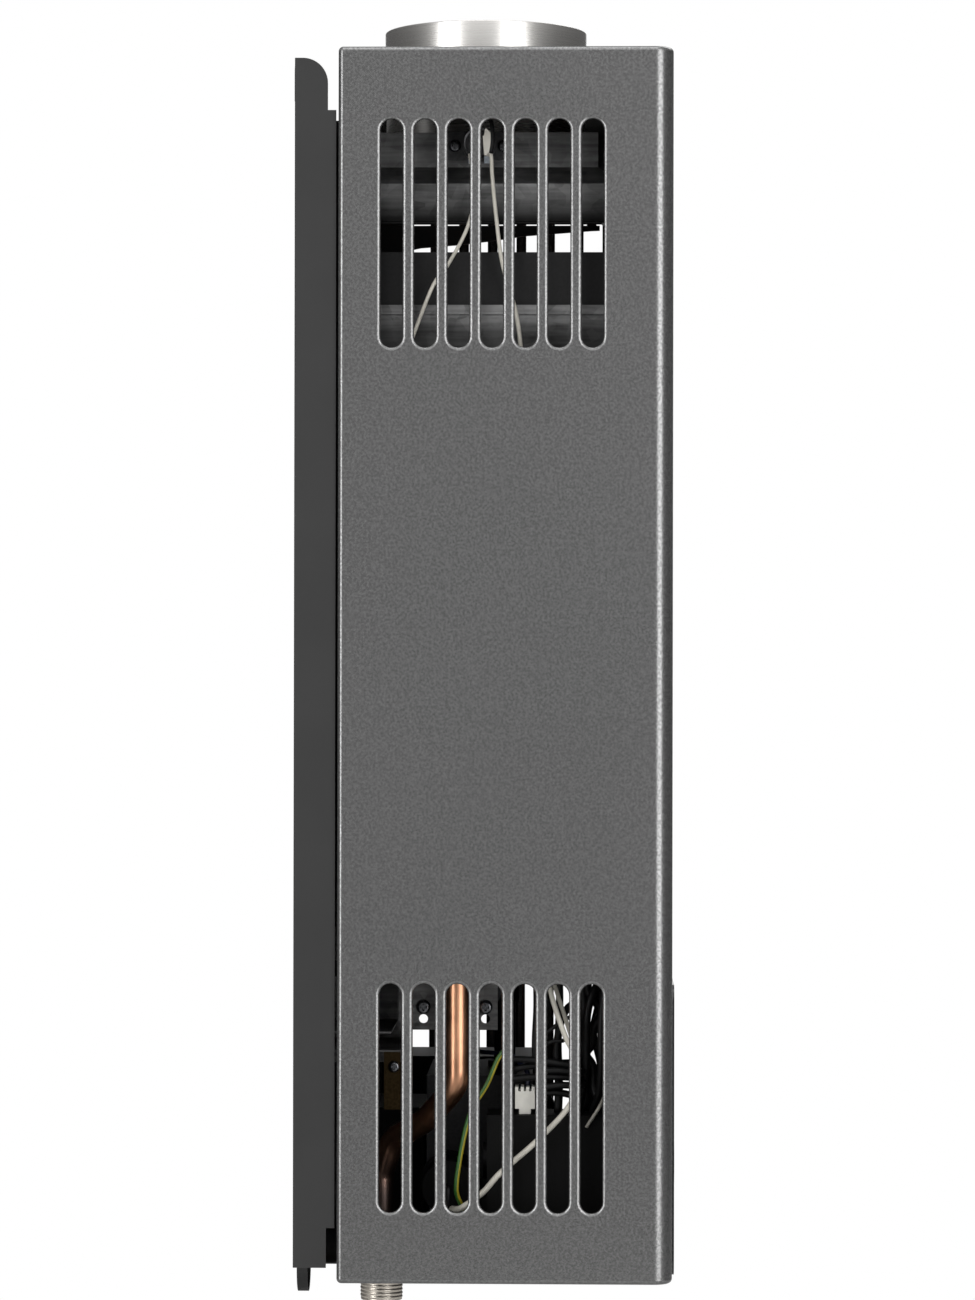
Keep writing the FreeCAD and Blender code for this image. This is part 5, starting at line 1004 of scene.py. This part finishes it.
class HEATER_OT_gas(HeaterOperator, bpy.types.Operator):
    """Gas valve, riser, inlet pipe and solenoid"""

    bl_idname = "heater.gas"
    bl_label = "Gas path"

    def execute(self, context):
        # Near black aluminium here is painted shade inside the casing
        dress("die_cast_aluminium_in_painted_shade", "gas_valve", "gas_riser", "gas_inlet_pipe")
        dress("moulded_black_abs", "solenoid_valve")
        return {"FINISHED"}


class HEATER_OT_water(HeaterOperator, bpy.types.Operator):
    """Water valve, diaphragm, pipes, nipples and nuts"""

    bl_idname = "heater.water"
    bl_label = "Water path"

    def execute(self, context):
        # Near black aluminium here is painted shade inside the casing
        dress("die_cast_aluminium_in_painted_shade", "water_valve_body", "water_valve_cover")
        # Dark brown brass here is painted shade inside the casing
        dress("cast_brass_in_painted_shade", "union_nuts")
        dress("turned_brass", "drain_plug")
        dress("moulded_epdm", "diaphragm", "pipe_grommets")
        dress("drawn_copper", "hot_water_pipe", "cold_water_pipe", "cold_inlet_pipe")
        pipe_threads()
        return {"FINISHED"}


class HEATER_OT_controls(HeaterOperator, bpy.types.Operator):
    """Knobs, spindles, push rod, lever, micro-switch and battery box"""

    bl_idname = "heater.controls"
    bl_label = "Controls"

    def execute(self, context):
        dress("satin_grey_abs", "season_knob", "gas_knob", "water_knob")
        dress("turned_brass", "season_spindle", "gas_spindle", "water_spindle")
        knob_pointers()
        dress("zinc_plated_steel", "push_rod", "switch_lever")
        dress("galvanised_sheet", "switch_bracket")
        dress("moulded_black_abs", "microswitch", "battery_box")
        dress("gloss_black_abs", "battery_door")
        return {"FINISHED"}


class HEATER_OT_wiring(HeaterOperator, bpy.types.Operator):
    """Ignition module, thermostats, leads and assembly screws"""

    bl_idname = "heater.wiring"
    bl_label = "Wiring and screws"

    def execute(self, context):
        dress("moulded_black_abs", "ignition_module")
        dress("natural_nylon", "module_connector")
        dress("heat_darkened_steel", "thermostat_caps")
        thermostat_faces()
        white_leads()
        black_loom()
        grey_leads()
        striped_earth_lead()
        dress("dark_blue_pvc", "signal_lead")
        pan_head_screws()
        return {"FINISHED"}


def area_light(name, place, aim, width, height, power):
    """A soft light of the stated size in metres, aimed at a point."""
    data = bpy.data.lights.new(name, "AREA")
    data.shape = "RECTANGLE"
    data.size = width
    data.size_y = height
    data.energy = power
    lamp = placed(name, data)
    lamp.location = place
    lamp.rotation_mode = "QUATERNION"
    lamp.rotation_quaternion = (Vector(aim) - Vector(place)).to_track_quat("-Z", "Y")


# Brightness of the room as metal sees it, from the photographed side to the far one
ROOM_STOPS = ((0.0, 0.385), (0.07, 0.38), (0.25, 0.2), (0.5, 0.12), (0.98, 0.12), (0.985, 1.0))


def studio_world(fill):
    """White as background and through glass; metal sees a dim room, brighter above and at its ends."""
    world = bpy.data.worlds.new("studio")
    bpy.context.scene.world = world
    world.use_nodes = True
    tree = world.node_tree
    tree.nodes.clear()
    rays = add(tree, "LightPath")
    clear = add(tree, "Math", operation="MAXIMUM",
                links={0: rays.outputs["Is Camera Ray"], 1: rays.outputs["Is Transmission Ray"]})
    towards = add(tree, "TexCoord").outputs["Generated"]
    parts = add(tree, "SeparateXYZ", links={"Vector": towards})
    place = add(tree, "MapRange", {"From Min": -1.0}, {"Value": parts.outputs["X"]})
    ramp = add(tree, "ValToRGB", links={"Fac": place},
               stops=[(spot, (shade, shade, shade)) for spot, shade in ROOM_STOPS])
    rise = add(tree, "MapRange", {"From Min": -0.5, "From Max": 0.5, "To Min": 0.45, "To Max": 1.55},
               {"Value": parts.outputs["Z"]})
    slope = add(tree, "Math", operation="ABSOLUTE", links={0: parts.outputs["Z"]})
    ends = add(tree, "MapRange", {"From Min": 0.25, "From Max": 0.42, "To Min": 1.0, "To Max": 3.4},
               {"Value": slope})
    even = add(tree, "Math", operation="MULTIPLY",
               links={0: rise, 1: ends})
    wall = add(tree, "Math", operation="MULTIPLY", links={0: ramp, 1: even})
    room = add(tree, "Mix", {"A": fill}, {"Factor": rays.outputs["Is Glossy Ray"], "B": wall})
    strength = add(tree, "Mix", {"B": 1.0}, {"Factor": clear, "A": room})
    back = add(tree, "Background", {"Color": (1.0, 1.0, 1.0, 1.0)},
               {"Strength": strength})
    add(tree, "OutputWorld", links={"Surface": back})


def stage_floor(tint):
    """A plain pale floor below the hung heater."""
    size, drop = 1.5, 0.26
    data = bpy.data.meshes.new("floor")
    middle = (CAD_BOX[0] + CAD_BOX[1]) / 2
    level = CAD_BOX[0].z - drop
    corners = [(middle.x + i * size, middle.y + j * size, level) for i, j in
               ((-1, -1), (1, -1), (1, 1), (-1, 1))]
    data.from_pydata(corners, [], [(0, 1, 2, 3)])
    floor = placed("floor", data)
    data.materials.append(finished(blank("floor_paint")[0], {"Roughness": 0.9, "Base Color": (*tint, 1.0)}))


def photo_camera():
    """The camera of the photograph: square on to the side, from about two metres."""
    data = bpy.data.cameras.new("camera")
    picture_height, focal_pixels, film = 1300.0, 4260.0, 36.0
    data.sensor_width = film
    data.lens = film * focal_pixels / picture_height
    data.dof.use_dof = False
    camera = placed("camera", data)
    distance, back_of_front = 2.028, 38.1 * MM
    camera.location = (-HALF_WIDTH * MM - distance, COVER_LOW.y + back_of_front,
                       COVER_LOW.z + COVER_HEIGHT / 2 * MM)
    yaw, pitch, roll = math.radians(1.42), math.radians(0.2), math.radians(0.1)
    ahead = Vector((math.cos(yaw), math.sin(yaw), math.tan(pitch))).normalized()
    camera.rotation_mode = "QUATERNION"
    level = ahead.to_track_quat("-Z", "Y")
    camera.rotation_quaternion = level @ Matrix.Rotation(roll, 3, "Z").to_quaternion()
    bpy.context.scene.camera = camera


# Name, x, distance behind and above the heater's middle, width and height in metres, and power in watts
SOFTBOXES = (("front_softbox", -1.7, -1.12, 0.2, 0.92, 1.7, 23),
             ("rear_softbox", -1.5, 1.34, 0.2, 0.75, 1.7, 23),
             ("top_softbox", -0.5, 0.0, 1.7, 1.2, 1.0, 10),
             ("far_softbox", 1.1, -0.9, 1.7, 1.0, 1.0, 10),
             ("low_softbox", -1.3, 0.0, -1.2, 1.2, 0.5, 3))


class HEATER_OT_stage(HeaterOperator, bpy.types.Operator):
    """Floor, soft lights, white surroundings and the camera"""

    bl_idname = "heater.stage"
    bl_label = "Stage"

    def execute(self, context):
        looks = context.scene.heater_stage
        context.scene.view_settings.view_transform = "Standard"
        studio_world(looks.fill)
        stage_floor(tuple(looks.floor_colour))
        middle = (CAD_BOX[0] + CAD_BOX[1]) / 2
        for name, x, back, up, width, height, power in SOFTBOXES:
            area_light(name, (x, middle.y + back, middle.z + up), middle, width, height, power)
        photo_camera()
        return {"FINISHED"}


OPERATORS = (HEATER_OT_casing, HEATER_OT_flue, HEATER_OT_exchanger, HEATER_OT_burner, HEATER_OT_gas,
             HEATER_OT_water, HEATER_OT_controls, HEATER_OT_wiring, HEATER_OT_stage)


class HEATER_PT_panel(bpy.types.Panel):
    """Lists the pieces of the heater and their settings"""

    bl_idname = "HEATER_PT_panel"
    bl_label = "Gas Water Heater"
    bl_space_type = "VIEW_3D"
    bl_region_type = "UI"
    bl_category = "Heater"

    def draw(self, context):
        scene = context.scene
        for group in (scene.heater_casing, scene.heater_metal, scene.heater_stage):
            column = self.layout.column()
            for key in group.__annotations__:
                column.prop(group, key)
        for operator in OPERATORS:
            self.layout.operator(operator.bl_idname)


CLASSES = (CasingLooks, MetalLooks, StageLooks, *OPERATORS, HEATER_PT_panel)


def register():
    """Registers the classes and hangs the settings on the scene."""
    for item in CLASSES:
        bpy.utils.register_class(item)
    bpy.types.Scene.heater_casing = PointerProperty(type=CasingLooks)
    bpy.types.Scene.heater_metal = PointerProperty(type=MetalLooks)
    bpy.types.Scene.heater_stage = PointerProperty(type=StageLooks)


def unregister():
    """Takes the settings and classes away again."""
    del bpy.types.Scene.heater_stage
    del bpy.types.Scene.heater_metal
    del bpy.types.Scene.heater_casing
    for item in reversed(CLASSES):
        bpy.utils.unregister_class(item)


def main():
    """Builds every piece and the stage."""
    register()
    for operator in OPERATORS:
        getattr(bpy.ops.heater, operator.bl_idname.partition(".")[2])()


if __name__ == "__main__":
    main()
